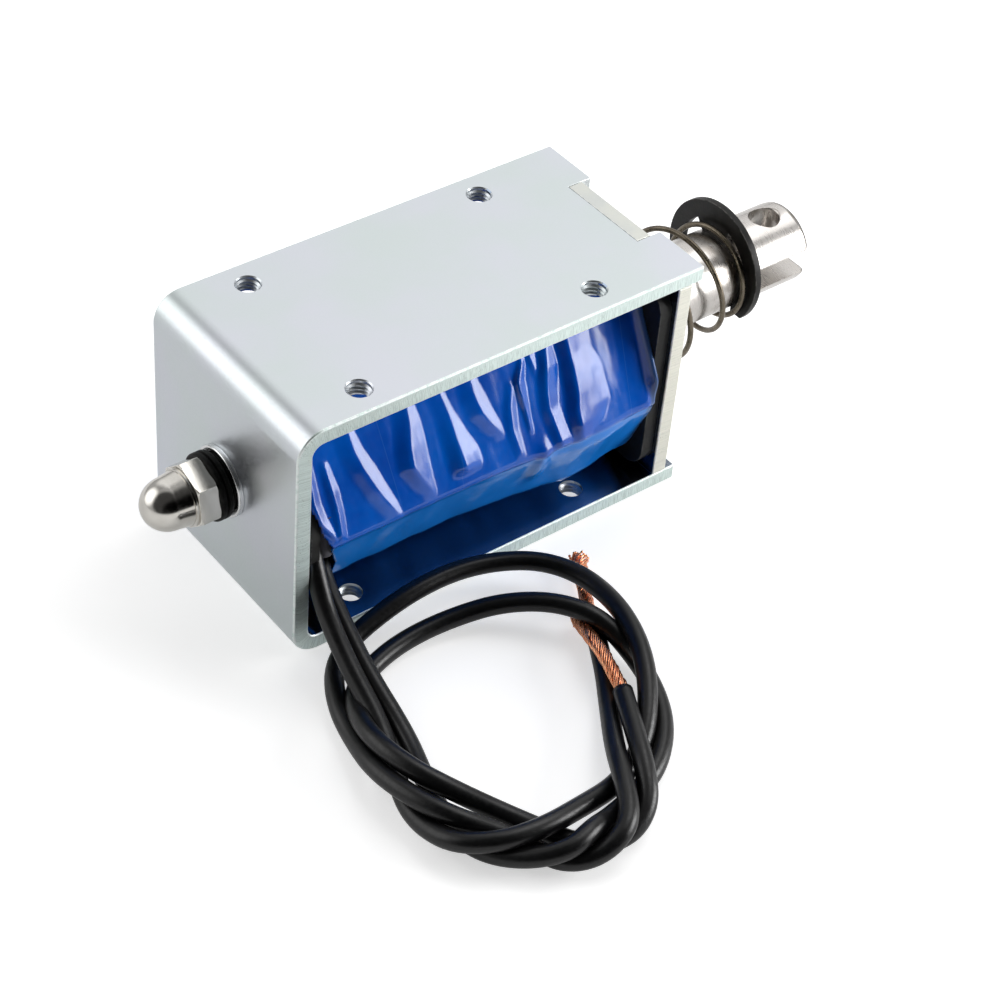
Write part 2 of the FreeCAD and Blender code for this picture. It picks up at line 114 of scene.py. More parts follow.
class Draft:
    """One piece's mesh while it is being made, in millimetres."""

    def __init__(self, node: Optional[str] = None) -> None:
        """Start empty, or from a merged copy of a CAD node with its flat faces joined.

        Args:
            node: The CAD node to copy, if any.
        """
        self.bm = bmesh.new()
        if node:
            self.bm.from_mesh(bpy.data.objects[node].data)
            self.scale(1 / MM)
            self.weld(NODE_MERGE)
            bmesh.ops.dissolve_limit(self.bm, angle_limit=NODE_FLATNESS, verts=self.bm.verts,
                                     edges=self.bm.edges)
        self.rim = self.bm.faces.layers.float.new(Layer.RIM.value)
        self.cut = self.bm.faces.layers.float.new(Layer.CUT.value)
        self.inner = self.bm.faces.layers.float.new(Layer.INNER.value)
        self.run = self.bm.verts.layers.float.new(Layer.RUN.value)
        self.lap = self.bm.verts.layers.float.new(Layer.LAP.value)

    def scale(self, factor: float) -> None:
        """Scale the whole draft about the origin."""
        bmesh.ops.scale(self.bm, vec=(factor,) * 3, verts=self.bm.verts)

    def weld(self, reach: float = 1e-4) -> None:
        """Merge the vertices that lie within reach of each other."""
        bmesh.ops.remove_doubles(self.bm, verts=self.bm.verts, dist=reach)

    def outwards(self) -> None:
        """Turn every face outwards."""
        bmesh.ops.recalc_face_normals(self.bm, faces=self.bm.faces)

    def turn(self, profile: Sequence[tuple[float, float]], steps: int = 96, closed: bool = False) -> None:
        """Spin a profile about the plunger's axis.

        Args:
            profile: Corners as (x, radius).
            steps: Facets in the full turn.
            closed: Whether the last corner joins the first, as in a ring.
        """
        corners = [self.bm.verts.new((x, 0.0, AXIS.z + radius)) for x, radius in profile]
        pairs = list(zip(corners, corners[1:] + corners[:1] if closed else corners[1:]))
        edges = [self.bm.edges.new(pair) for pair in pairs]
        bmesh.ops.spin(self.bm, geom=corners + edges, cent=AXIS, axis=(1, 0, 0), dvec=(0, 0, 0),
                       angle=math.tau, steps=steps, use_merge=True)
        self.weld()
        self.outwards()

    def ease(self, width: float, segments: int = 2, sharper_than: float = 25.0,
             where: Callable[[bmesh.types.BMEdge], bool] = lambda edge: True) -> None:
        """Round the sharp edges and mark the new faces as rims.

        Args:
            width: How far the rounding reaches from each edge.
            segments: Facets across the rounding.
            sharper_than: The least angle between two faces that counts as sharp, in degrees.
            where: Which of the sharp edges to take.
        """
        least = math.radians(sharper_than)
        edges = [e for e in self.bm.edges if e.is_manifold and e.calc_face_angle(0.0) > least and where(e)]
        made = bmesh.ops.bevel(self.bm, geom=edges, offset=width, offset_type="OFFSET", segments=segments,
                               profile=0.5, affect="EDGES", clamp_overlap=False, material=-1)
        for face in made["faces"]:
            face[self.rim] = 1.0

    def finish(self, name: str, sharper_than: float = 30.0) -> bpy.types.Object:
        """Make the piece's object, in metres, at the origin.

        Args:
            name: The piece's name.
            sharper_than: Edges with a greater angle than this, in degrees, stay crisp.

        Returns:
            The finished object, linked to the scene.
        """
        self.scale(MM)
        for face in self.bm.faces:
            face.smooth = True
        for edge in self.bm.edges:
            edge.smooth = edge.calc_face_angle(0.0) < math.radians(sharper_than)
        mesh = bpy.data.meshes.new(name)
        self.bm.to_mesh(mesh)
        self.bm.free()
        return link(bpy.data.objects.new(name, mesh))


def link(piece: bpy.types.Object) -> bpy.types.Object:
    """Link a piece to the scene and return it."""
    bpy.context.scene.collection.objects.link(piece)
    return piece


def evened(piece: bpy.types.Object) -> None:
    """Let the large faces of an eased piece set its shading.

    Args:
        piece: The finished piece.
    """
    modifier = piece.modifiers.new("even_shading", "WEIGHTED_NORMAL")
    modifier.keep_sharp = True
    modifier.weight = 80


# Finishes

class Bench:
    """Places and links the nodes of one tree."""

    def __init__(self, tree: bpy.types.NodeTree) -> None:
        """Start on an empty tree."""
        self.tree = tree
        tree.nodes.clear()

    def add(self, kind: str, inputs: Optional[dict] = None, **settings: object) -> bpy.types.Node:
        """Place a shader node.

        Args:
            kind: The node's type without its ShaderNode prefix.
            inputs: Values or sockets by input name or index.
            settings: The node's own properties.

        Returns:
            The new node.
        """
        node = self.tree.nodes.new("ShaderNode" + kind)
        for key, value in settings.items():
            setattr(node, key, value)
        self.feed(node, inputs or {})
        return node

    def feed(self, node: bpy.types.Node, inputs: dict) -> None:
        """Set or link a node's inputs.

        Args:
            node: The node.
            inputs: Values or sockets by input name or index.
        """
        for key, value in inputs.items():
            if isinstance(value, Output):
                self.tree.links.new(value, node.inputs[key])
            else:
                node.inputs[key].default_value = value

    def group(self, tree: bpy.types.NodeTree, inputs: dict) -> Output:
        """Place a shared group and return its first output.

        Args:
            tree: The group's tree.
            inputs: Values or sockets by input name.

        Returns:
            The group's output.
        """
        node = self.tree.nodes.new("ShaderNodeGroup")
        node.node_tree = tree
        self.feed(node, inputs)
        return node.outputs[0]

    def calc(self, operation: str, first: Socket, second: Socket) -> Output:
        """Work out one operation on two numbers."""
        return self.add("Math", {0: first, 1: second}, operation=operation).outputs[0]

    def plus(self, first: Socket, second: Socket) -> Output:
        """Add two numbers."""
        return self.calc("ADD", first, second)

    def times(self, first: Socket, second: Socket) -> Output:
        """Multiply two numbers."""
        return self.calc("MULTIPLY", first, second)

    def fade(self, value: Socket, low: float, high: float, start: float = 0.0, end: float = 1.0) -> Output:
        """Turn a value smoothly from start to end as it goes from low to high."""
        return self.add("MapRange", {"Value": value, "From Min": low, "From Max": high, "To Min": start,
                                     "To Max": end}, interpolation_type="SMOOTHSTEP").outputs[0]

    def mix(self, share: Socket, first: Socket, second: Socket) -> Output:
        """Blend two colours."""
        first, second = [c if isinstance(c, Output) else (*c, 1.0) for c in (first, second)]
        return self.add("Mix", {0: share, 6: first, 7: second}, data_type="RGBA").outputs[2]

    def mark(self, layer: Layer) -> Output:
        """Read one of the draft's attributes."""
        return self.add("Attribute", attribute_name=layer.value).outputs["Fac"]


def shared_group(name: str, inputs: dict[str, str], output: str,
                 fill: Callable[[Bench, bpy.types.Node], Output]) -> bpy.types.NodeTree:
    """Build a shader node group once and return it from then on.

    Args:
        name: The group's name.
        inputs: Socket types by input name.
        output: The name of its one output.
        fill: Makes the nodes and returns the socket that feeds the output.

    Returns:
        The group's tree.
    """
    if name in bpy.data.node_groups:
        return bpy.data.node_groups[name]
    tree = bpy.data.node_groups.new(name, "ShaderNodeTree")
    for label, kind in inputs.items():
        tree.interface.new_socket(label, in_out="INPUT", socket_type="NodeSocket" + kind)
    tree.interface.new_socket(output, in_out="OUTPUT", socket_type="NodeSocketFloat")
    bench = Bench(tree)
    entry = tree.nodes.new("NodeGroupInput")
    leave = tree.nodes.new("NodeGroupOutput")
    tree.links.new(fill(bench, entry), leave.inputs[0])
    return tree


def mottle() -> bpy.types.NodeTree:
    """The group that makes soft cloudy patches.

    Returns:
        The group's tree.
    """
    def fill(bench: Bench, entry: bpy.types.Node) -> Output:
        """Cloud noise with its middle stretched.

        Args:
            bench: The group's bench.
            entry: The node with the group's inputs.

        Returns:
            The patches, from 0 to 1.
        """
        cloud = bench.add("TexNoise", {"Vector": entry.outputs["Vector"], "Scale": entry.outputs["Scale"],
                                       "Detail": 4.0, "Roughness": 0.55})
        return bench.fade(cloud.outputs[0], 0.33, 0.67)
    return shared_group("cloudy_mottle", {"Vector": "Vector", "Scale": "Float"}, "Mask", fill)


def grain() -> bpy.types.NodeTree:
    """The group that makes grain, drawn out along an axis by its stretch.

    Returns:
        The group's tree.
    """
    def fill(bench: Bench, entry: bpy.types.Node) -> Output:
        """Fine noise on a stretched vector.

        Args:
            bench: The group's bench.
            entry: The node with the group's inputs.

        Returns:
            The grain's height.
        """
        drawn = bench.add("VectorMath", {0: entry.outputs["Vector"], 1: entry.outputs["Stretch"]},
                          operation="MULTIPLY")
        fine = bench.add("TexNoise", {"Vector": drawn.outputs[0], "Scale": entry.outputs["Scale"],
                                      "Detail": 3.0, "Roughness": 0.6})
        return fine.outputs[0]
    return shared_group("drawn_grain", {"Vector": "Vector", "Stretch": "Vector", "Scale": "Float"},
                        "Height", fill)


def edge_wear() -> bpy.types.NodeTree:
    """The group that breaks up the rims where a coating has rubbed off.

    Returns:
        The group's tree.
    """
    def fill(bench: Bench, entry: bpy.types.Node) -> Output:
        """The rim mark times patchy noise.

        Args:
            bench: The group's bench.
            entry: The node with the group's inputs.

        Returns:
            Where the coating is gone, from 0 to 1.
        """
        patches = bench.add("TexNoise", {"Vector": entry.outputs["Vector"], "Scale": entry.outputs["Scale"],
                                         "Detail": 2.0})
        broken = bench.fade(patches.outputs[0], 0.35, 0.6)
        return bench.times(bench.times(broken, entry.outputs["Edge"]), entry.outputs["Amount"])
    return shared_group("rubbed_edges", {"Vector": "Vector", "Edge": "Float", "Scale": "Float",
                                         "Amount": "Float"}, "Mask", fill)


def specks() -> bpy.types.NodeTree:
    """The group that scatters small specks.

    Returns:
        The group's tree.
    """
    def fill(bench: Bench, entry: bpy.types.Node) -> Output:
        """A dot in some of the cells.

        Args:
            bench: The group's bench.
            entry: The node with the group's inputs.

        Returns:
            The specks, from 0 to 1.
        """
        cells = bench.add("TexVoronoi", {"Vector": entry.outputs["Vector"], "Scale": entry.outputs["Scale"]})
        dot = bench.fade(cells.outputs["Distance"], 0.12, 0.3, 1.0, 0.0)
        chosen = bench.fade(cells.outputs["Color"], 0.55, 0.75)
        return bench.times(dot, chosen)
    return shared_group("scattered_specks", {"Vector": "Vector", "Scale": "Float"}, "Mask", fill)


@dataclass(frozen=True)
class Finish:
    """A surface: its tones, gloss, grain and worn rims. Lengths are in metres."""

    name: str
    tone: Colour
    second_tone: Colour
    metallic: float = 0.0
    roughness: float = 0.4
    roughness_spread: float = 0.06
    mottle_scale: float = 90.0
    grain_scale: float = 1500.0
    grain_stretch: Point = (1.0, 1.0, 1.0)
    grain_depth: float = 0.00003
    grain_strength: float = 0.25
    worn_tone: Colour = (0.5, 0.5, 0.5)
    worn_amount: float = 0.0
    wear_scale: float = 900.0
    ior: float = 1.5

    def colour(self, bench: Bench, place: Output, base: Output) -> Output:
        """Add to the base colour. The plain finish leaves it as it is."""
        return base

    def height(self, bench: Bench, place: Output, base: Output) -> Output:
        """Add to the relief. The plain finish leaves it as it is."""
        return base

    def gloss(self, bench: Bench, place: Output, base: Output) -> Output:
        """Add to the roughness. The plain finish leaves it as it is."""
        return base

    def material(self) -> bpy.types.Material:
        """Build the material once.

        Returns:
            The finish's material.
        """
        if self.name in bpy.data.materials:
            return bpy.data.materials[self.name]
        material = bpy.data.materials.new(self.name)
        material.use_nodes = True
        bench = Bench(material.node_tree)
        place = bench.add("TexCoord").outputs["Object"]
        cloud = bench.group(mottle(), {"Vector": place, "Scale": self.mottle_scale})
        base = bench.mix(cloud, self.tone, self.second_tone)
        base = self.colour(bench, place, base)
        if self.worn_amount:
            worn = bench.group(edge_wear(), {"Vector": place, "Edge": bench.mark(Layer.RIM),
                                             "Scale": self.wear_scale, "Amount": self.worn_amount})
            base = bench.mix(worn, base, self.worn_tone)
        relief = bench.group(grain(), {"Vector": place, "Stretch": self.grain_stretch,
                                       "Scale": self.grain_scale})
        rough = bench.fade(relief, 0.3, 0.7, self.roughness - self.roughness_spread,
                           self.roughness + self.roughness_spread)
        bump = bench.add("Bump", {"Strength": self.grain_strength, "Distance": self.grain_depth,
                                  "Height": self.height(bench, place, relief)})
        shader = bench.add("BsdfPrincipled", {
            "Base Color": base, "Roughness": self.gloss(bench, place, rough), "Metallic": self.metallic,
            "IOR": self.ior, "Normal": bump.outputs[0]})
        output = bench.add("OutputMaterial")
        bench.tree.links.new(shader.outputs[0], output.inputs["Surface"])
        return material


@dataclass(frozen=True)
class ZincSheet(Finish):
    """Zinc plated sheet whose sheared edges are paler, striped across and speckled."""

    sheared_tone: Colour = (0.76, 0.86, 0.83)
    sheared_dark: Colour = (0.52, 0.61, 0.58)
    speck_tone: Colour = (0.12, 0.15, 0.14)
    # Painted shade and a painted reflection of the blue film, for the faces that look towards the coil.
    inner_painted_shade_and_reflection: Colour = (0.24, 0.29, 0.37)
    speck_scale: float = 2600.0
    speck_patches: float = 110.0
    speck_amount: float = 0.55
    stripe_scale: float = 7.5
    stripe_waver: float = 60.0
    stripe_depth: float = 1.2
    sheared_roughness: float = 0.12
    inner_gloss: float = 0.18

    def colour(self, bench: Bench, place: Output, base: Output) -> Output:
        """Stripe the sheared faces along the sheet's run, and paint shade and a blue reflection of the film
        onto the inside.

        Args:
            bench: The material's bench.
            place: The point's place on the object.
            base: The plated colour.

        Returns:
            The colour of the whole sheet.
        """
        stripes = self.stripes(bench, place)
        sheared = bench.mix(stripes, self.sheared_dark, self.sheared_tone)
        dots = bench.group(specks(), {"Vector": place, "Scale": self.speck_scale})
        patches = bench.group(mottle(), {"Vector": place, "Scale": self.speck_patches})
        dots = bench.times(bench.times(dots, patches), self.speck_amount)
        sheared = bench.mix(dots, sheared, self.speck_tone)
        base = bench.mix(bench.mark(Layer.CUT), base, sheared)
        # Painted shade and a painted reflection of the blue film on the inside faces.
        return bench.mix(bench.mark(Layer.INNER), base, self.inner_painted_shade_and_reflection)

    def height(self, bench: Bench, place: Output, base: Output) -> Output:
        """Cut the stripes deeper on the sheared faces."""
        depth = bench.times(bench.mark(Layer.CUT), self.stripe_depth)
        return bench.plus(base, bench.times(self.stripes(bench, place), depth))

    def gloss(self, bench: Bench, place: Output, base: Output) -> Output:
        """Roughen the sheared faces and keep the inside glossy.

        Args:
            bench: The material's bench.
            place: The point's place on the object.
            base: The plated faces' roughness.

        Returns:
            The roughness of the whole sheet.
        """
        added = bench.times(bench.mark(Layer.CUT), self.sheared_roughness)
        taken = bench.times(bench.mark(Layer.INNER), self.inner_gloss)
        return bench.calc("SUBTRACT", bench.plus(base, added), taken)

    def stripes(self, bench: Bench, place: Output) -> Output:
        """Lines across the sheet's thickness, close together along its run.

        Args:
            bench: The material's bench.
            place: The point's place on the object.

        Returns:
            The lines, from 0 to 1.
        """
        along = bench.add("CombineXYZ", {"X": bench.mark(Layer.RUN)})
        across = bench.add("VectorMath", {0: place, 1: (self.stripe_waver,) * 3}, operation="MULTIPLY")
        both = bench.add("VectorMath", {0: along.outputs[0], 1: across.outputs[0]}, operation="ADD")
        lines = bench.add("TexNoise", {"Vector": both.outputs[0], "Scale": self.stripe_scale,
                                       "Detail": 4.0, "Roughness": 0.65})
        return bench.fade(lines.outputs[0], 0.32, 0.62)


@dataclass(frozen=True)
class PlungerNickel(Finish):
    """Turned nickel plate, blackened and pitted where it runs beside the clip."""

    band_start: float = 0.0585
    band_end: float = 0.0640
    band_fade: float = 0.002
    soil_tone: Colour = (0.13, 0.105, 0.08)
    soil_amount: float = 0.6
    soil_patches: float = 420.0
    speck_scale: float = 1600.0
    speck_amount: float = 0.35

    def colour(self, bench: Bench, place: Output, base: Output) -> Output:
        """Darken a patchy band next to the clip's groove.

        Args:
            bench: The material's bench.
            place: The point's place on the object.
            base: The clean plate's colour.

        Returns:
            The colour with its soiling.
        """
        along = bench.add("SeparateXYZ", {0: place}).outputs["X"]
        begun = bench.fade(along, self.band_start - self.band_fade, self.band_start + self.band_fade)
        ended = bench.fade(along, self.band_end, self.band_end + self.band_fade / 2, 1.0, 0.0)
        band = bench.times(begun, ended)
        patches = bench.group(mottle(), {"Vector": place, "Scale": self.soil_patches})
        dots = bench.group(specks(), {"Vector": place, "Scale": self.speck_scale})
        soiled = bench.calc("MAXIMUM", bench.times(band, patches), bench.times(dots, self.speck_amount))
        return bench.mix(bench.times(soiled, self.soil_amount), base, self.soil_tone)


@dataclass(frozen=True)
class WoundWire(Finish):
    """Layers of enamelled wire round the coil, seen as fine ridges along it."""

    pitch: float = 0.00032
    band_size: float = 0.314

    def height(self, bench: Bench, place: Output, base: Output) -> Output:
        """Round ridges, one for each turn of wire.

        Args:
            bench: The material's bench.
            place: The point's place on the object.
            base: The plain grain, which the ridges replace.

        Returns:
            The ridges' height.
        """
        turns = bench.add("TexWave", {"Vector": place, "Scale": self.band_size / self.pitch,
                                      "Distortion": 0.2},
                          wave_type="BANDS", bands_direction="X")
        return turns.outputs["Fac"]


@dataclass(frozen=True)
class TapeFilm(Finish):
    """Glossy film with overlapping edges, fine wrinkles and a milky lap at its end."""

    lap_tone: Colour = (0.05, 0.10, 0.19)
    # Painted bounce light: below this height the film turns a paler blue, standing in for light from the
    # floor on the lower facet.
    floor_bounce_painted_tone: Colour = (0.01, 0.22, 0.72)
    painted_bounce_below: float = 0.0195
    painted_bounce_fade: float = 0.0006
    painted_bounce_amount: float = 0.8
    edge_tone: Colour = (0.10, 0.28, 0.62)
    edge_width: tuple[float, float] = (0.00004, 0.00012)
    edge_amount: float = 0.12
    edge_step: float = 0.3
    grain_share: float = 0.15
    wrinkle_stretch: Point = (1.0, 0.25, 0.25)
    wrinkle_scale: float = 420.0
    overlaps: tuple[tuple[float, float], ...] = ((-0.0158, -0.05), (-0.0066, 0.06), (0.0268, 0.1))

    def colour(self, bench: Bench, place: Output, base: Output) -> Output:
        """Pale the film low down with painted bounce light from the floor, pale the lap at the end, and line
        the overlapping edges.

        Args:
            bench: The material's bench.
            place: The point's place on the object.
            base: The film's colour.

        Returns:
            The colour with its pale parts and lines.
        """
        line = bench.times(self.edges(bench, place), self.edge_amount)
        base = bench.mix(line, base, self.edge_tone)
        # Painted bounce light from the floor on the film's lower facet.
        height = bench.add("SeparateXYZ", {0: place}).outputs["Z"]
        painted_bounce_share = bench.fade(height, self.painted_bounce_below - self.painted_bounce_fade, self.painted_bounce_below + self.painted_bounce_fade,
                           self.painted_bounce_amount, 0.0)
        base = bench.mix(painted_bounce_share, base, self.floor_bounce_painted_tone)
        return bench.mix(bench.mark(Layer.LAP), base, self.lap_tone)

    def height(self, bench: Bench, place: Output, base: Output) -> Output:
        """Long soft wrinkles, and a step at each overlapping edge.

        Args:
            bench: The material's bench.
            place: The point's place on the object.
            base: The film's grain.

        Returns:
            The height of it all.
        """
        soft = bench.group(grain(), {"Vector": place, "Stretch": self.wrinkle_stretch,
                                     "Scale": self.wrinkle_scale})
        wrinkled = bench.plus(bench.times(base, self.grain_share), soft)
        step = bench.times(self.edges(bench, place), self.edge_step)
        return bench.plus(wrinkled, step)

    def edges(self, bench: Bench, place: Output) -> Output:
        """A thin line round the coil for each place where one turn of film overlaps another.

        Args:
            bench: The material's bench.
            place: The point's place on the object.

        Returns:
            The lines, from 0 to 1.
        """
        parts = bench.add("SeparateXYZ", {0: place})
        lines: Socket = 0.0
        for start, slant in self.overlaps:
            line_x = bench.plus(bench.times(parts.outputs["Z"], slant), start)
            off = bench.calc("ABSOLUTE", bench.calc("SUBTRACT", parts.outputs["X"], line_x), 0.0)
            lines = bench.calc("MAXIMUM", lines, bench.fade(off, *self.edge_width, 1.0, 0.0))
        return lines


ZINC = ZincSheet(
    "zinc_sheet", tone=(0.60, 0.655, 0.655), second_tone=(0.63, 0.65, 0.70), metallic=1.0,
    roughness=0.36, roughness_spread=0.04, mottle_scale=42.0, grain_scale=2600.0, grain_depth=0.00001,
    grain_strength=0.12, worn_tone=(0.86, 0.88, 0.88), worn_amount=0.7)
PLATE = ZincSheet(
    "closing_plate_zinc", tone=(0.66, 0.67, 0.62), second_tone=(0.60, 0.62, 0.60), metallic=1.0,
    roughness=0.38, mottle_scale=160.0, grain_scale=2200.0, grain_depth=0.00001, grain_strength=0.15,
    worn_tone=(0.88, 0.88, 0.84), worn_amount=0.6, sheared_tone=(0.80, 0.79, 0.71),
    sheared_dark=(0.66, 0.66, 0.59))
TURNED_STEEL = Finish(
    "turned_core_steel", tone=(0.74, 0.74, 0.74), second_tone=(0.66, 0.67, 0.67), metallic=1.0,
    roughness=0.26, grain_scale=3000.0, grain_stretch=(1.0, 0.04, 0.04), grain_strength=0.3)
GROUND_STEEL = Finish(
    "ground_rod_steel", tone=(0.70, 0.70, 0.70), second_tone=(0.62, 0.62, 0.62), metallic=1.0,
    roughness=0.22, grain_scale=3400.0, grain_stretch=(1.0, 0.05, 0.05), grain_strength=0.2)
BRASS = Finish(
    "drawn_tube_brass", tone=(0.66, 0.46, 0.17), second_tone=(0.56, 0.38, 0.14), metallic=1.0,
    roughness=0.28, grain_scale=2400.0, grain_stretch=(0.04, 1.0, 1.0), grain_strength=0.25)
NYLON = Finish(
    "bobbin_nylon", tone=(0.010, 0.010, 0.0095), second_tone=(0.018, 0.018, 0.017), roughness=0.5,
    mottle_scale=200.0, grain_scale=2600.0, grain_depth=0.00004, grain_strength=0.35,
    worn_tone=(0.10, 0.10, 0.095), worn_amount=0.5, ior=1.28)
COIL_WIRE = WoundWire(
    "coil_wire", tone=(0.24, 0.07, 0.025), second_tone=(0.16, 0.045, 0.016), metallic=1.0, roughness=0.3,
    grain_depth=0.00008, grain_strength=0.8)
FILM = TapeFilm(
    "blue_film", tone=(0.0, 0.066, 0.44), second_tone=(0.0, 0.11, 0.58), roughness=0.17,
    roughness_spread=0.03, mottle_scale=70.0, grain_scale=900.0, grain_depth=0.00006,
    grain_strength=0.16, ior=1.52)
SLEEVE = Finish(
    "joint_sleeve", tone=(0.05, 0.05, 0.055), second_tone=(0.035, 0.035, 0.04), roughness=0.55)
PVC = Finish(
    "lead_pvc", tone=(0.002, 0.002, 0.0024), second_tone=(0.004, 0.004, 0.0044), roughness=0.34,
    roughness_spread=0.06, mottle_scale=240.0, grain_scale=1800.0, grain_depth=0.00003,
    grain_strength=0.3, ior=1.42)
COPPER = Finish(
    "bare_strand_copper", tone=(0.95, 0.46, 0.26), second_tone=(0.78, 0.30, 0.15), metallic=1.0,
    roughness=0.28, mottle_scale=600.0, grain_scale=3000.0, grain_strength=0.2)
PLUNGER_NICKEL = PlungerNickel(
    "plunger_nickel", tone=(0.60, 0.575, 0.55), second_tone=(0.55, 0.525, 0.50), metallic=1.0,
    roughness=0.28, roughness_spread=0.015, mottle_scale=260.0, grain_scale=2800.0,
    grain_stretch=(1.0, 0.12, 0.12), grain_depth=0.00001, grain_strength=0.04,
    worn_tone=(0.40, 0.37, 0.33), worn_amount=0.85)
NUT_NICKEL = Finish(
    "nut_nickel", tone=(0.64, 0.62, 0.58), second_tone=(0.57, 0.55, 0.51), metallic=1.0,
    roughness=0.16, roughness_spread=0.03, mottle_scale=300.0, grain_scale=2600.0,
    grain_stretch=(1.0, 0.15, 0.15), grain_depth=0.00001, grain_strength=0.03,
    worn_tone=(0.92, 0.89, 0.82), worn_amount=0.8)
RUBBER = Finish(
    "stop_rubber", tone=(0.005, 0.005, 0.005), second_tone=(0.010, 0.010, 0.0095), roughness=0.44,
    mottle_scale=500.0, grain_scale=2200.0, grain_depth=0.00006, grain_strength=0.4,
    worn_tone=(0.02, 0.02, 0.019), worn_amount=0.5, ior=1.16)
BLACK_OXIDE = Finish(
    "clip_black_oxide", tone=(0.005, 0.0045, 0.004), second_tone=(0.010, 0.009, 0.008),
    roughness=0.42, mottle_scale=500.0, grain_scale=2400.0, grain_depth=0.00003, grain_strength=0.3,
    worn_tone=(0.11, 0.105, 0.10), worn_amount=0.75, ior=1.3)
SPRING_STEEL = Finish(
    "oiled_spring_wire", tone=(0.17, 0.145, 0.11), second_tone=(0.12, 0.10, 0.075), metallic=1.0,
    roughness=0.3, mottle_scale=350.0, grain_scale=2400.0, grain_strength=0.2)


# Sub-assemblies

@dataclass
class SubAssembly:
    """Pieces that are built together and then dressed."""

    pieces: dict[str, bpy.types.Object] = field(default_factory=dict, init=False)

    def build(self) -> None:
        """Make every piece's mesh."""
        raise NotImplementedError

    def dress(self) -> None:
        """Give every piece its finish."""
        raise NotImplementedError

    def keep(self, piece: bpy.types.Object, body: Body, slot: str, *nodes: str) -> bpy.types.Object:
        """Take in a finished piece.

        Args:
            piece: The piece.
            body: The CAD body that it rides on.
            slot: The record's material slot that it stands for. It is not used.
            nodes: The CAD nodes that it replaces.

        Returns:
            The same piece.
        """
        self.pieces[piece.name] = piece
        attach(piece, body.value)
        if nodes:
            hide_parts(*nodes)
        return piece

    def coat(self, finish: Finish, *names: str) -> None:
        """Give pieces or CAD nodes a finish.

        Args:
            finish: The finish.
            names: The pieces' or nodes' names.
        """
        for name in names:
            slots = bpy.data.objects[name].data.materials
            if not slots:
                slots.append(None)
            for index in range(len(slots)):
                slots[index] = finish.material()


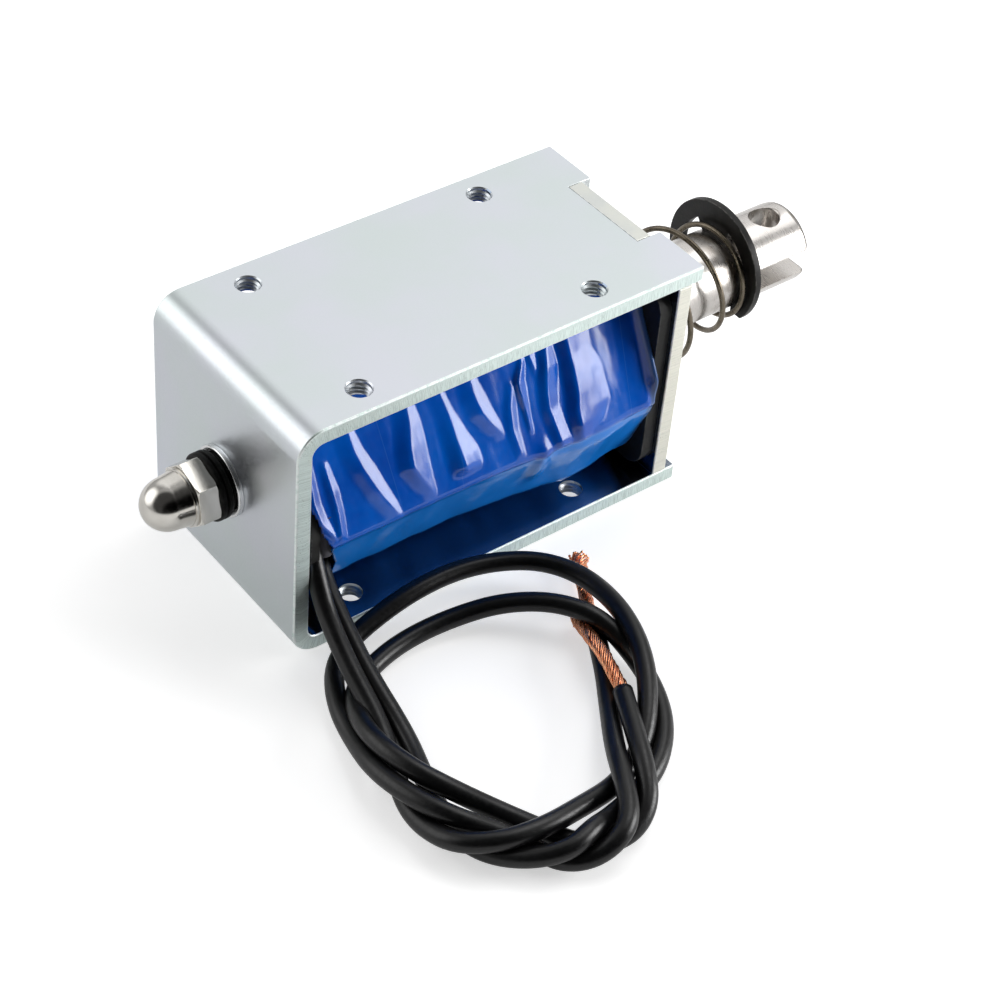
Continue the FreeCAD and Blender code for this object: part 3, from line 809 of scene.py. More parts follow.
@dataclass
class SheetFrame(SubAssembly):
    """The U-frame bent from one sheet, the plate that closes it, and the threads in its holes."""

    length_rear: float = -36.8
    width_half: float = 20.0
    height: float = 45.0
    sheet: float = 2.8
    bend_outer: float = 4.8
    edge_round: float = 0.32
    tab_round: float = 0.15
    side_band: float = 0.4
    tabs_from: float = 36.2
    plate_inner: float = 38.0
    tab_ends_from: float = 41.0
    hole_spacing: tuple[float, float] = (45.0, 30.0)
    thread_outer: float = 2.03
    thread_inner: float = 1.66
    thread_pitch: float = 0.7
    thread_share: float = 0.42
    thread_steps: int = 28
    thread_starts: tuple[float, float] = (0.2, 0.15)

    def build(self) -> None:
        """Round the sheared edges, mark them, and thread the holes."""
        for name, node, slot in (("bent_frame", "frame", "zinc_steel"),
                                 ("closing_plate", "front_plate", "plate_steel")):
            draft = Draft(node)
            draft.ease(self.edge_round, 3, where=lambda e: all(
                abs(abs(v.co.y) - self.width_half) < 0.01 for v in e.verts))
            draft.ease(self.tab_round, 2, sharper_than=40.0, where=lambda e: all(
                v.co.x > self.tabs_from for v in e.verts) and not any(
                face[draft.rim] for face in e.link_faces))
            for face in draft.bm.faces:
                middle = face.calc_center_median()
                sheared = self.on_side(middle) or middle.x > self.tab_ends_from
                face[draft.cut] = 1.0 if sheared else 0.0
                # The inner mark carries painted shade and a painted blue reflection, as well as a lower
                # roughness.
                face[draft.inner] = 1.0 if self.looks_in(middle, face.normal) else 0.0
            for vert in draft.bm.verts:
                vert[draft.run] = self.along_sheet(vert.co.x, vert.co.z) if node == "frame" else vert.co.z
            piece = self.keep(draft.finish(name), Body.FRAME, slot, node)
            evened(piece)
        self.keep(self.threads().finish("hole_threads"), Body.FRAME, "zinc_steel")

    def on_side(self, middle: Vector) -> bool:
        """Whether a face lies on one of the sheet's two long sheared sides."""
        return abs(middle.y) > self.width_half - self.side_band

    def looks_in(self, middle: Vector, normal: Vector) -> bool:
        """Whether a face of the sheet looks towards the coil.

        Args:
            middle: The face's middle.
            normal: Its outward direction.

        Returns:
            True on the inside of the bent frame and of the plate.
        """
        inwards = AXIS + Vector((1.0, 0.0, 0.0)) - middle
        on_edge = self.on_side(middle) or middle.x > self.plate_inner
        return not on_edge and abs(normal.y) < 0.5 and Vector((inwards.x, 0.0, inwards.z)).dot(normal) > 0.0

    def along_sheet(self, x: float, z: float) -> float:
        """Measure along the middle of the bent sheet.

        Args:
            x: The point's place along the plunger.
            z: The point's height.

        Returns:
            The distance from the start of the lower bend, in millimetres.
        """
        bend_x = self.length_rear + self.bend_outer
        radius = self.bend_outer - self.sheet / 2
        quarter = radius * math.pi / 2
        upright = self.height - 2 * self.bend_outer
        if x >= bend_x:
            return bend_x - x if z < self.height / 2 else 2 * quarter + upright + x - bend_x
        if z < self.bend_outer:
            return radius * math.atan2(bend_x - x, self.bend_outer - z)
        if z > self.height - self.bend_outer:
            return quarter + upright + radius * math.atan2(z - self.height + self.bend_outer, bend_x - x)
        return quarter + z - self.bend_outer

    def threads(self) -> Draft:
        """Sweep a ridge round each hole's wall.

        Returns:
            The draft with one helical ridge in each of the eight holes.
        """
        draft = Draft()
        turns = (self.sheet - sum(self.thread_starts)) / self.thread_pitch - 1
        steps = round(turns * self.thread_steps)
        half = self.thread_pitch * self.thread_share
        for low in (self.thread_starts[0], self.height - self.sheet + self.thread_starts[1]):
            for side_x in (-0.5, 0.5):
                for side_y in (-0.5, 0.5):
                    centre = Vector((side_x * self.hole_spacing[0], side_y * self.hole_spacing[1], low))
                    ridge = [draft.bm.verts.new(centre + Vector(corner)) for corner in (
                        (self.thread_outer, 0, 0), (self.thread_inner, 0, half),
                        (self.thread_outer, 0, 2 * half))]
                    face = draft.bm.faces.new(ridge)
                    bmesh.ops.spin(draft.bm, geom=[face], cent=centre, axis=(0, 0, 1),
                                   dvec=(0, 0, self.thread_pitch / self.thread_steps),
                                   angle=math.tau * turns, steps=steps, use_merge=False)
        bmesh.ops.holes_fill(draft.bm, edges=[e for e in draft.bm.edges if e.is_boundary], sides=3)
        draft.outwards()
        return draft

    def dress(self) -> None:
        """Zinc plate all over."""
        self.coat(ZINC, "bent_frame", "hole_threads")
        self.coat(PLATE, "closing_plate")


@dataclass
class CoreAndGuide(SubAssembly):
    """The fixed core with its rolled lip, the shim and the tube that guides the plunger."""

    wall_inner: float = -34.0
    rear_face: float = -36.8
    core_front: float = -14.8
    body_radius: float = 7.30
    spigot_radius: float = 5.8
    lip_radius: float = 6.05
    lip_wall: float = 0.75
    lip_height: float = 0.95
    seat: float = -36.5
    bore_radius: float = 3.1
    lip_round: float = 0.3
    edge_round: float = 0.1

    def build(self) -> None:
        """Turn the core and round its rolled lip."""
        lip_rear = self.rear_face - self.lip_height
        core = Draft()
        core.turn([(self.core_front, self.bore_radius), (self.core_front, self.body_radius),
                   (self.wall_inner, self.body_radius), (self.wall_inner, self.spigot_radius),
                   (self.rear_face, self.spigot_radius), (self.rear_face, self.lip_radius),
                   (lip_rear, self.lip_radius), (lip_rear, self.lip_radius - self.lip_wall),
                   (self.seat, self.lip_radius - self.lip_wall), (self.seat, self.bore_radius)],
                  steps=128, closed=True)
        core.ease(self.lip_round, 4, where=lambda e: all(abs(v.co.x - lip_rear) < 0.01 for v in e.verts))
        core.ease(self.edge_round, 2, sharper_than=60.0)
        self.keep(core.finish("rolled_core"), Body.FRAME, "core_steel", "fixed_core")

    def dress(self) -> None:
        """Turned steel for the core, brass for the tube and the shim."""
        self.coat(TURNED_STEEL, "rolled_core")
        self.coat(BRASS, "guide_tube", "gap_shim")


@dataclass(frozen=True)
class Fold:
    """One fold of the film. Each station is a height with the crest's x and the lit flank's far x."""

    stations: tuple[tuple[float, float, float], ...]
    steepness: float = 0.30
    lead_in: float = 3.2
    fade_above: float = 1.5
    fade_below: float = 1.2
    narrowest: float = 0.3
    tallest: float = 1.3

    def rise(self, x: float, z: float) -> float:
        """How far the fold stands off the coil.

        Args:
            x: The place along the coil.
            z: The height.

        Returns:
            The height of the fold there, in millimetres.
        """
        top, bottom = self.stations[0], self.stations[-1]
        share = (ramp(z, top[0] + self.fade_above, top[0])
                 * ramp(z, bottom[0] - self.fade_below, bottom[0]))
        if share <= 0.0:
            return 0.0
        level = min(max(z, bottom[0]), top[0])
        for upper, lower in zip(self.stations, self.stations[1:]):
            if level >= lower[0]:
                part = (upper[0] - level) / (upper[0] - lower[0])
                crest = upper[1] + (lower[1] - upper[1]) * part
                foot = upper[2] + (lower[2] - upper[2]) * part
                break
        width = max(foot - crest, self.narrowest)
        peak = min(self.steepness * width, self.tallest) * eased(share)
        if x < crest:
            return peak * eased(ramp(x, crest - self.lead_in, crest))
        return peak * ramp(x, crest + width, crest)


FILM_FOLDS = (
    Fold(((36.0, -22.9, -21.9), (32.0, -22.6, -20.9), (29.3, -21.8, -19.7), (25.7, -20.3, -18.4),
          (22.9, -18.7, -17.3), (21.0, -17.5, -16.9))),
    Fold(((36.0, -11.8, -10.6), (32.5, -12.3, -10.0), (29.5, -13.2, -10.0), (26.8, -13.5, -10.1),
          (24.5, -12.3, -10.2), (22.5, -11.0, -10.2))),
    Fold(((36.0, -5.7, -5.0), (31.5, -4.9, -3.8), (28.0, -4.7, -2.3), (25.5, -4.6, -1.0),
          (23.6, -4.4, -0.9))),
    Fold(((36.0, 0.3, 1.3), (32.4, 0.4, 2.4), (29.8, 1.0, 3.1), (27.5, 2.5, 3.9), (26.0, 3.8, 4.3))),
    Fold(((31.5, 7.4, 8.5), (29.0, 6.3, 7.7), (25.6, 5.8, 7.0), (22.0, 6.4, 7.2)), 0.26, 1.6),
    Fold(((34.5, 10.3, 11.0), (32.0, 8.5, 10.2), (30.0, 8.6, 10.0), (28.0, 8.9, 9.8), (24.8, 9.1, 9.6)),
         0.5, 0.8),
    Fold(((35.5, 11.8, 13.0), (33.1, 12.3, 13.2), (31.6, 12.7, 13.1)), 0.3, 1.0),
    Fold(((36.0, 15.5, 16.8), (32.0, 14.2, 17.2), (29.0, 13.5, 15.9), (26.5, 13.2, 15.3),
          (23.8, 13.7, 15.8), (21.0, 14.1, 16.6)), 0.32, 2.0),
    Fold(((36.0, 19.0, 24.0), (32.5, 19.1, 23.8), (29.8, 19.0, 25.0), (27.0, 18.8, 25.2),
          (24.2, 18.2, 25.4), (22.0, 18.3, 23.5), (20.5, 18.5, 20.6)), 0.24, 2.4),
    Fold(((34.0, 32.2, 33.5), (29.8, 32.3, 33.5), (25.0, 32.4, 33.5), (20.5, 32.4, 33.2)), 0.36, 4.0),
    Fold(((31.5, -28.1, -27.2), (28.2, -28.0, -26.6), (25.7, -27.9, -26.7), (22.0, -28.3, -27.2)), 0.36, 1.3),
    Fold(((32.5, -31.0, -30.0), (27.5, -31.6, -30.3), (24.5, -31.2, -29.7), (22.0, -29.4, -28.7)), 0.4, 1.0),
)


@dataclass
class TapedCoil(SubAssembly):
    """The bobbin, the winding and the wrinkled film round it."""

    tape_start: float = -33.4
    flange_face: float = -31.4
    flange_under: float = 0.45
    tape_end: float = 33.85
    columns: int = 270
    corners: tuple[tuple[float, float, float], ...] = (
        (19.3, 41.8, 16.4), (-9.2, 41.8, 8.0), (-20.6, 20.6, 0.9), (-15.4, 7.6, 6.0), (-9.0, 3.2, 5.0),
        (19.3, 3.2, 16.4))
    rows: tuple[int, int, int] = (26, 112, 40)
    corner_steps: int = 24
    film: float = 0.14
    bobbin_round: float = 0.18
    winding_share: float = 0.85
    open_side: float = -4.0
    under_side: float = 5.5
    seam: float = 1e-3
    ripples: tuple[float, float] = (0.10, 0.02)
    ripple_scale: tuple[float, float] = (0.35, 0.12)
    finer_by: float = 2.7
    unevenness: float = 0.18
    uneven_scale: tuple[float, float] = (0.22, 0.15)
    lower_facet: tuple[float, float] = (21.0, 18.0)
    sag: float = 1.1
    sag_middle: float = 21.0
    sag_reach: float = 7.0
    tuck: float = 0.9
    tuck_span: tuple[float, float] = (12.0, -4.0)
    crease: float = 0.16
    crease_height: float = 19.2
    crease_reach: float = 0.5
    crease_change: float = 0.1
    crease_scale: float = 0.3
    knot: float = 0.65
    knot_middle: tuple[float, float] = (10.8, 17.5)
    knot_reach: tuple[float, float] = (1.5, 4.5)
    flare: float = 2.2
    flare_span: tuple[float, float] = (32.1, 33.6)
    flare_heights: tuple[float, float] = (20.5, 24.5)
    flat_above: tuple[float, float] = (41.0, 37.0)
    smoothed_from: float = -5.0
    smoothing: float = 0.35
    lap_span: tuple[float, float] = (32.7, 33.2)
    lap_share: float = 0.75
    lead_exit: tuple[tuple[float, float], ...] = (
        (-34.5, 31.5), (-32.0, 26.5), (-31.2, 23.0), (-28.4, 16.5), (-26.8, 12.8))

    def build(self) -> None:
        """Ease the bobbin, slim the winding and drape the film."""
        bobbin = Draft("bobbin")
        self.trim_flange(bobbin)
        bobbin.ease(self.bobbin_round, 2, sharper_than=40.0)
        piece = self.keep(bobbin.finish("coil_bobbin"), Body.FRAME, "bobbin_plastic", "bobbin")
        evened(piece)
        winding = Draft("winding")
        bmesh.ops.scale(winding.bm, vec=(1.0, self.winding_share, self.winding_share),
                        space=Matrix.Translation(-AXIS), verts=winding.bm.verts)
        self.keep(winding.finish("wound_coil"), Body.FRAME, "winding_copper", "winding")
        film = self.drape().finish("tape_film", sharper_than=60.0)
        self.keep(film, Body.FRAME, "blue_tape", "tape_wrap")
        wall = film.modifiers.new("film_wall", "SOLIDIFY")
        wall.thickness = self.film * MM
        wall.offset = -1.0

    def trim_flange(self, bobbin: Draft) -> None:
        """Cut the rear flange back to the coil's outline on the open side.

        Args:
            bobbin: The draft of the bobbin.
        """
        for (y0, z0, _), (y1, z1, _) in zip(self.corners[1:3], self.corners[2:4]):
            normal = Vector((0.0, z1 - z0, y0 - y1)).normalized()
            flange = [f for f in bobbin.bm.faces if all(v.co.x < self.flange_face for v in f.verts)]
            parts = {*flange, *(e for f in flange for e in f.edges), *(v for f in flange for v in f.verts)}
            cut = bmesh.ops.bisect_plane(bobbin.bm, geom=list(parts), dist=1e-4, plane_no=normal,
                                         plane_co=Vector((0.0, y0, z0)) - normal * self.flange_under,
                                         clear_outer=True)
            edges = [e for e in cut["geom_cut"] if isinstance(e, bmesh.types.BMEdge)]
            bmesh.ops.holes_fill(bobbin.bm, edges=edges, sides=0)
        bobbin.outwards()

    def outline(self) -> list[Vector]:
        """Sample the film's section, closely on the open side.

        Returns:
            Points (0, y, z) from the middle of the far side, over the top, round to the start again.
        """
        path: list[Vector] = []
        count = len(self.corners)
        for index, (y, z, radius) in enumerate(self.corners):
            corner = Vector((0.0, y, z))
            back = (Vector((0.0, *self.corners[index - 1][:2])) - corner).normalized()
            ahead = (Vector((0.0, *self.corners[(index + 1) % count][:2])) - corner).normalized()
            half = back.angle(ahead) / 2
            reach = radius / math.tan(half)
            centre = corner + (back + ahead).normalized() * (radius / math.sin(half))
            start, end = corner + back * reach - centre, corner + ahead * reach - centre
            path += [centre + start.slerp(end, step / self.corner_steps).normalized() * radius
                     for step in range(self.corner_steps + 1)]
        path = [(path[0] + path[-1]) / 2] + path + [(path[0] + path[-1]) / 2]
        lengths = [0.0]
        for before, after in zip(path, path[1:]):
            lengths.append(lengths[-1] + (after - before).length)
        opening = [i for i, p in enumerate(path) if p.y < self.open_side]
        near = opening[0], next(i for i in opening if path[i].z < self.under_side)
        stops = [0.0, lengths[near[0]], lengths[near[1]], lengths[-1]]
        wanted = [stops[part] + (stops[part + 1] - stops[part]) * step / rows
                  for part, rows in enumerate(self.rows) for step in range(rows)] + [lengths[-1]]
        points, index = [], 0
        for length in wanted:
            while index < len(lengths) - 2 and lengths[index + 1] < length:
                index += 1
            span = lengths[index + 1] - lengths[index]
            share = (length - lengths[index]) / span if span > 1e-9 else 0.0
            points.append(path[index].lerp(path[index + 1], share))
        return points

    def drape(self) -> Draft:
        """Wrap a fine grid round the coil and raise its folds.

        Returns:
            The draft of the film, cut back where the leads come out.
        """
        points = self.outline()
        count = len(points)
        normals = []
        for index in range(count):
            before = points[index - 1] if index else points[-2]
            after = points[index + 1] if index < count - 1 else points[1]
            along = (after - before).normalized()
            normals.append(Vector((0.0, along.z, -along.y)))
        draft = Draft()
        bmesh.ops.create_grid(draft.bm, x_segments=self.columns, y_segments=count - 1, size=0.5)
        for vert in draft.bm.verts:
            across, row = vert.co.x + 0.5, round((vert.co.y + 0.5) * (count - 1))
            x = self.tape_start + across * (self.tape_end - self.tape_start)
            base, normal = points[row], normals[row]
            lift = self.lift(x, base)
            vert.co = Vector((x, base.y, base.z)) + normal * lift
            vert[draft.lap] = ramp(x, *self.lap_span) * self.lap_share
        draft.weld(self.seam)
        bmesh.ops.smooth_vert(draft.bm, verts=[v for v in draft.bm.verts if v.co.y < self.smoothed_from],
                              factor=self.smoothing, use_axis_x=False, use_axis_y=True, use_axis_z=True)
        draft.outwards()
        gone = [f for f in draft.bm.faces if self.in_lead_exit(f.calc_center_median())]
        bmesh.ops.delete(draft.bm, geom=gone, context="FACES")
        return draft

    def lift(self, x: float, base: Vector) -> float:
        """How far the film stands off its plain section.

        Args:
            x: The place along the coil.
            base: The section's point.

        Returns:
            The distance outwards, in millimetres.
        """
        along, around = self.ripple_scale
        spot = Vector((x * along, base.y * around, base.z * around))
        ripple = self.ripples[0] * noise.noise(spot) + self.ripples[1] * noise.noise(spot * self.finer_by)
        if base.y > self.open_side:
            return ripple
        lift = ripple + max(fold.rise(x, base.z) for fold in FILM_FOLDS)
        low = ramp(base.z, *self.lower_facet)
        sagging = self.sag * swell(x - self.sag_middle, self.sag_reach)
        uneven = self.unevenness * noise.noise(
            Vector((x * self.uneven_scale[0], base.z * self.uneven_scale[1], 3.0)))
        lift += low * (sagging - self.tuck * ramp(x, *self.tuck_span) + uneven)
        crease = self.crease + self.crease_change * noise.noise(Vector((x * self.crease_scale, 5.0, 0.0)))
        lift -= crease * swell(base.z - self.crease_height, self.crease_reach)
        lift += self.knot * swell(x - self.knot_middle[0], self.knot_reach[0]) * swell(
            base.z - self.knot_middle[1], self.knot_reach[1], 4)
        lift += self.flare * eased(ramp(x, *self.flare_span) * ramp(base.z, *self.flare_heights))
        return lift * ramp(base.z, *self.flat_above)

    def in_lead_exit(self, point: Vector) -> bool:
        """Whether a point lies where the film is cut back for the leads.

        Args:
            point: The point, in millimetres.

        Returns:
            True where the film is cut away.
        """
        if point.y > self.open_side:
            return False
        for (x0, z0), (x1, z1) in zip(self.lead_exit, self.lead_exit[1:]):
            if x0 <= point.x <= x1:
                return point.z < z0 + (z1 - z0) * ramp(point.x, x0, x1)
        return False

    def dress(self) -> None:
        """Nylon, enamelled wire, blue film, and sleeves on the lead joints."""
        self.coat(NYLON, "coil_bobbin")
        self.coat(COIL_WIRE, "wound_coil")
        self.coat(FILM, "tape_film")
        self.coat(SLEEVE, "lead_joint_a", "lead_joint_b")


@dataclass
class StopStack(SubAssembly):
    """The push rod and what its rear end carries: washer, rubber buffer and dome nut."""

    washer: tuple[float, float] = (-36.5, -37.9)
    washer_radius: float = 5.0
    washer_clearance: float = 0.4
    buffer: tuple[float, float] = (-38.2, -40.4)
    buffer_radius: float = 5.7
    groove: tuple[float, float] = (0.22, 0.45)
    ring_round: float = 0.4
    rod: tuple[float, float] = (8.0, -47.8)
    rod_radius: float = 3.0
    rod_round: float = 0.3
    nut_front: float = -40.4
    across_flats: float = 10.0
    hex_height: float = 3.6
    bead_height: float = 0.6
    neck_height: float = 2.1
    bead_swell: float = 0.06
    bead_root: tuple[float, float] = (0.2, 0.15)
    bead_step: tuple[float, float] = (0.05, 0.02)
    dome_radius: float = 4.6
    dome_steps: int = 20
    neck_taper: float = 0.25
    chamfer: float = 0.5
    chamfer_normal: tuple[float, float] = (0.87, 0.5)
    chamfer_cuts: int = 48
    hex_round: float = 0.09
    turned_by: float = 17.7

    def build(self) -> None:
        """Turn the round pieces and cut the nut's hexagon."""
        seat = self.ring(self.washer, self.washer_radius, self.rod_radius + self.washer_clearance)
        self.keep(seat.finish("seat_ring"), Body.FRAME, "black_rubber", "seat_washer")
        middle = sum(self.buffer) / 2
        half, depth = self.groove
        ribbed = [(middle + half, self.buffer_radius), (middle, self.buffer_radius - depth),
                  (middle - half, self.buffer_radius)]
        stop = self.ring(self.buffer, self.buffer_radius, self.rod_radius, ribbed)
        self.keep(stop.finish("stop_ring"), Body.ARMATURE, "black_rubber", "stop_buffer")
        rod = Draft()
        front, rear = self.rod
        rod.turn([(front, 0.0), (front, self.rod_radius), (rear, self.rod_radius), (rear, 0.0)])
        rod.ease(self.rod_round, 2)
        self.keep(rod.finish("ground_rod"), Body.ARMATURE, "rod_steel", "push_rod")
        nut = self.nut().finish("dome_nut", sharper_than=22.0)
        evened(self.keep(nut, Body.ARMATURE, "nickel_nut", "acorn_nut"))

    def ring(self, span: tuple[float, float], radius: float, bore: float,
             groove: Sequence[tuple[float, float]] = ()) -> Draft:
        """Turn a rubber ring with soft outer edges.

        Args:
            span: The places of its front and rear faces.
            radius: Its outer radius.
            bore: Its inner radius.
            groove: Corners of a groove round it, if it has one.

        Returns:
            The draft of the ring.
        """
        front, rear = span
        ring = Draft()
        ring.turn([(front, bore), (front, radius), *groove, (rear, radius), (rear, bore)], closed=True)
        ring.ease(self.ring_round, 5, where=lambda e: all(
            (v.co - AXIS).yz.length > radius - 0.1 and min(abs(v.co.x - end) for end in span) < 0.01
            for v in e.verts))
        return ring

    def nut(self) -> Draft:
        """Cut the hexagon's corners back to a cone and add the bead, the neck and the dome.

        Returns:
            The draft of the nut.
        """
        radius = self.across_flats / math.sqrt(3)
        hex_rear = self.nut_front - self.hex_height
        nut = Draft()
        place = (Matrix.Translation(AXIS + Vector((self.nut_front - self.hex_height / 2, 0, 0)))
                 @ Matrix.Rotation(math.radians(self.turned_by), 4, "X")
                 @ Matrix.Rotation(math.pi / 2, 4, "Y"))
        bmesh.ops.create_cone(nut.bm, cap_ends=True, cap_tris=False, segments=6, radius1=radius,
                              radius2=radius, depth=self.hex_height, matrix=place)
        for end, side in ((self.nut_front, 1.0), (hex_rear, -1.0)):
            for step in range(self.chamfer_cuts):
                angle = math.tau * step / self.chamfer_cuts
                out = Vector((0.0, math.cos(angle), math.sin(angle)))
                on_cone = AXIS + out * (radius - self.chamfer) + Vector((end, 0.0, 0.0))
                normal = Vector((side * self.chamfer_normal[0], 0.0, 0.0)) + out * self.chamfer_normal[1]
                cut = bmesh.ops.bisect_plane(
                    nut.bm, geom=nut.bm.verts[:] + nut.bm.edges[:] + nut.bm.faces[:], dist=1e-5,
                    plane_co=on_cone, plane_no=normal, clear_outer=True)
                edges = [e for e in cut["geom_cut"] if isinstance(e, bmesh.types.BMEdge)]
                if len(edges) > 2:
                    bmesh.ops.holes_fill(nut.bm, edges=edges, sides=0)
        nut.outwards()
        nut.ease(self.hex_round, 2, sharper_than=20.0)
        bead = self.dome_radius + self.chamfer / 2
        bead_end = hex_rear - self.bead_height
        neck = bead_end - self.neck_height
        angles = [math.pi / 2 * step / self.dome_steps for step in range(self.dome_steps + 1)]
        dome = [(neck - self.dome_radius * math.sin(angle),
                 (self.dome_radius - self.neck_taper) * math.cos(angle)) for angle in angles]
        root = hex_rear + self.bead_root[0]
        nut.turn([(root, 0.0), (root, bead - self.bead_root[1]), (hex_rear, bead),
                  (hex_rear - self.bead_height / 2, bead + self.bead_swell),
                  (bead_end + self.bead_step[0], bead), (bead_end, self.dome_radius + self.bead_step[1]),
                  *dome])
        return nut

    def dress(self) -> None:
        """Rubber, ground steel and nickel."""
        self.coat(RUBBER, "seat_ring", "stop_ring")
        self.coat(GROUND_STEEL, "ground_rod")
        self.coat(NUT_NICKEL, "dome_nut")


@dataclass
class PlungerAndClip(SubAssembly):
    """The plunger with its clevis, the clip in its groove and the return spring."""

    plunger_round: float = 0.6
    plunger_end: float = 80.4
    end_edges_from: float = 79.0
    clevis_edges_from: float = 60.0
    clevis_round: float = 0.12
    clip_round: float = 0.14
    wire_radius: float = 0.5
    spring_ends: tuple[float, float] = (39.85, 63.8)
    spring_turns: float = 4.25
    foot_turns: float = 0.9
    head_turns: float = 0.4
    blend_turns: float = 0.45
    foot_rise: float = 1.2
    head_rise: float = 0.8
    spring_radii: tuple[float, float] = (12.95, 8.45)
    cone_curve: float = 1.4
    points_per_turn: int = 24

    def build(self) -> None:
        """Ease the plunger and the clip, and wind the spring."""
        plunger = Draft("plunger")
        plunger.ease(self.plunger_round, 5, sharper_than=30.0,
                     where=lambda e: all(v.co.x > self.end_edges_from for v in e.verts))
        plunger.ease(self.clevis_round, 2, sharper_than=35.0, where=lambda e: all(
            v.co.x > self.clevis_edges_from for v in e.verts) and not any(
            face[plunger.rim] for face in e.link_faces))
        for vert in plunger.bm.verts:
            vert.co.x = min(vert.co.x, self.plunger_end)
        piece = self.keep(plunger.finish("clevis_plunger"), Body.ARMATURE, "nickel_plunger", "plunger")
        evened(piece)
        clip = Draft("e_clip")
        clip.ease(self.clip_round, 2, sharper_than=40.0)
        piece = self.keep(clip.finish("retaining_clip"), Body.CLIP, "black_clip", "e_clip")
        evened(piece)
        spring = self.spring()
        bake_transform(spring)
        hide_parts("return_spring")
        self.pieces[spring.name] = spring

    def rise_per_turn(self, turn: float, pitch: float) -> float:
        """The wire's rise at one place along the spring.

        Args:
            turn: How many turns lie before it.
            pitch: The rise of the open coils.

        Returns:
            The rise in millimetres per turn.
        """
        foot = ramp(turn, self.foot_turns, self.foot_turns + self.blend_turns)
        head_start = self.spring_turns - self.head_turns
        head = ramp(turn, head_start, head_start - self.blend_turns)
        if foot < 1.0:
            return self.foot_rise + (pitch - self.foot_rise) * foot
        return self.head_rise + (pitch - self.head_rise) * head

    def spring(self) -> bpy.types.Object:
        """Wind the conical spring as a curve and make it a mesh.

        Returns:
            The spring, which stands on the plate and ends at the clip.
        """
        start, end = self.spring_ends
        open_turns = self.spring_turns - self.foot_turns - self.head_turns - 2 * self.blend_turns
        ends_rise = (self.foot_rise * (self.foot_turns + self.blend_turns / 2)
                     + self.head_rise * (self.head_turns + self.blend_turns / 2))
        pitch = (end - start - ends_rise) / (open_turns + self.blend_turns)
        count = round(self.spring_turns * self.points_per_turn)
        step = self.spring_turns / count
        points, x = [], start
        for index in range(count + 1):
            share = max((x - start) / (end - start), 0.0) ** self.cone_curve
            radius = self.spring_radii[0] + (self.spring_radii[1] - self.spring_radii[0]) * share
            angle = math.pi + math.tau * step * index
            points.append((x * MM, radius * math.cos(angle) * MM, (AXIS.z + radius * math.sin(angle)) * MM))
            x += self.rise_per_turn((index + 0.5) * step, pitch) * step
        return meshed(nurbs("conical_spring", [points], order=4, radius=self.wire_radius * MM, roundness=5))

    def dress(self) -> None:
        """Nickel, black oxide and oiled wire."""
        self.coat(PLUNGER_NICKEL, "clevis_plunger")
        self.coat(BLACK_OXIDE, "retaining_clip")
        self.coat(SPRING_STEEL, "conical_spring")


def nurbs(name: str, lines: Sequence[Sequence[Point]], order: int = 3, fineness: int = 10,
          radius: float = 0.0, roundness: int = 0) -> bpy.types.Object:
    """Make open smooth curves, as bare lines or as round wires.

    Args:
        name: The object's name.
        lines: Each line's control points, in metres.
        order: The splines' order.
        fineness: The steps between two control points.
        radius: The wires' radius, 0 for bare lines.
        roundness: How finely the wires are rounded.

    Returns:
        The curve's object, linked to the scene.
    """
    curve = bpy.data.curves.new(name, "CURVE")
    curve.dimensions = "3D"
    curve.resolution_u = fineness
    curve.bevel_depth = radius
    curve.bevel_resolution = roundness
    curve.use_fill_caps = radius > 0.0
    for points in lines:
        spline = curve.splines.new("NURBS")
        spline.points.add(len(points) - 1)
        for place, point in zip(spline.points, points):
            place.co = (*point, 1.0)
        spline.order_u = order
        spline.use_endpoint_u = True
    return link(bpy.data.objects.new(name, curve))


def meshed(curve: bpy.types.Object) -> bpy.types.Object:
    """Make a round curve a mesh of the same name, with its seams closed.

    Args:
        curve: The curve's object, which goes.

    Returns:
        The mesh's object, linked to the scene.
    """
    name = curve.name
    mesh = bpy.data.meshes.new_from_object(curve)
    bpy.data.objects.remove(curve)
    bm = bmesh.new()
    bm.from_mesh(mesh)
    bmesh.ops.remove_doubles(bm, verts=bm.verts, dist=CURVE_SEAM)
    bmesh.ops.recalc_face_normals(bm, faces=bm.faces)
    for face in bm.faces:
        face.smooth = len(face.verts) < 5
    bm.to_mesh(mesh)
    bm.free()
    mesh.name = name
    return link(bpy.data.objects.new(name, mesh))


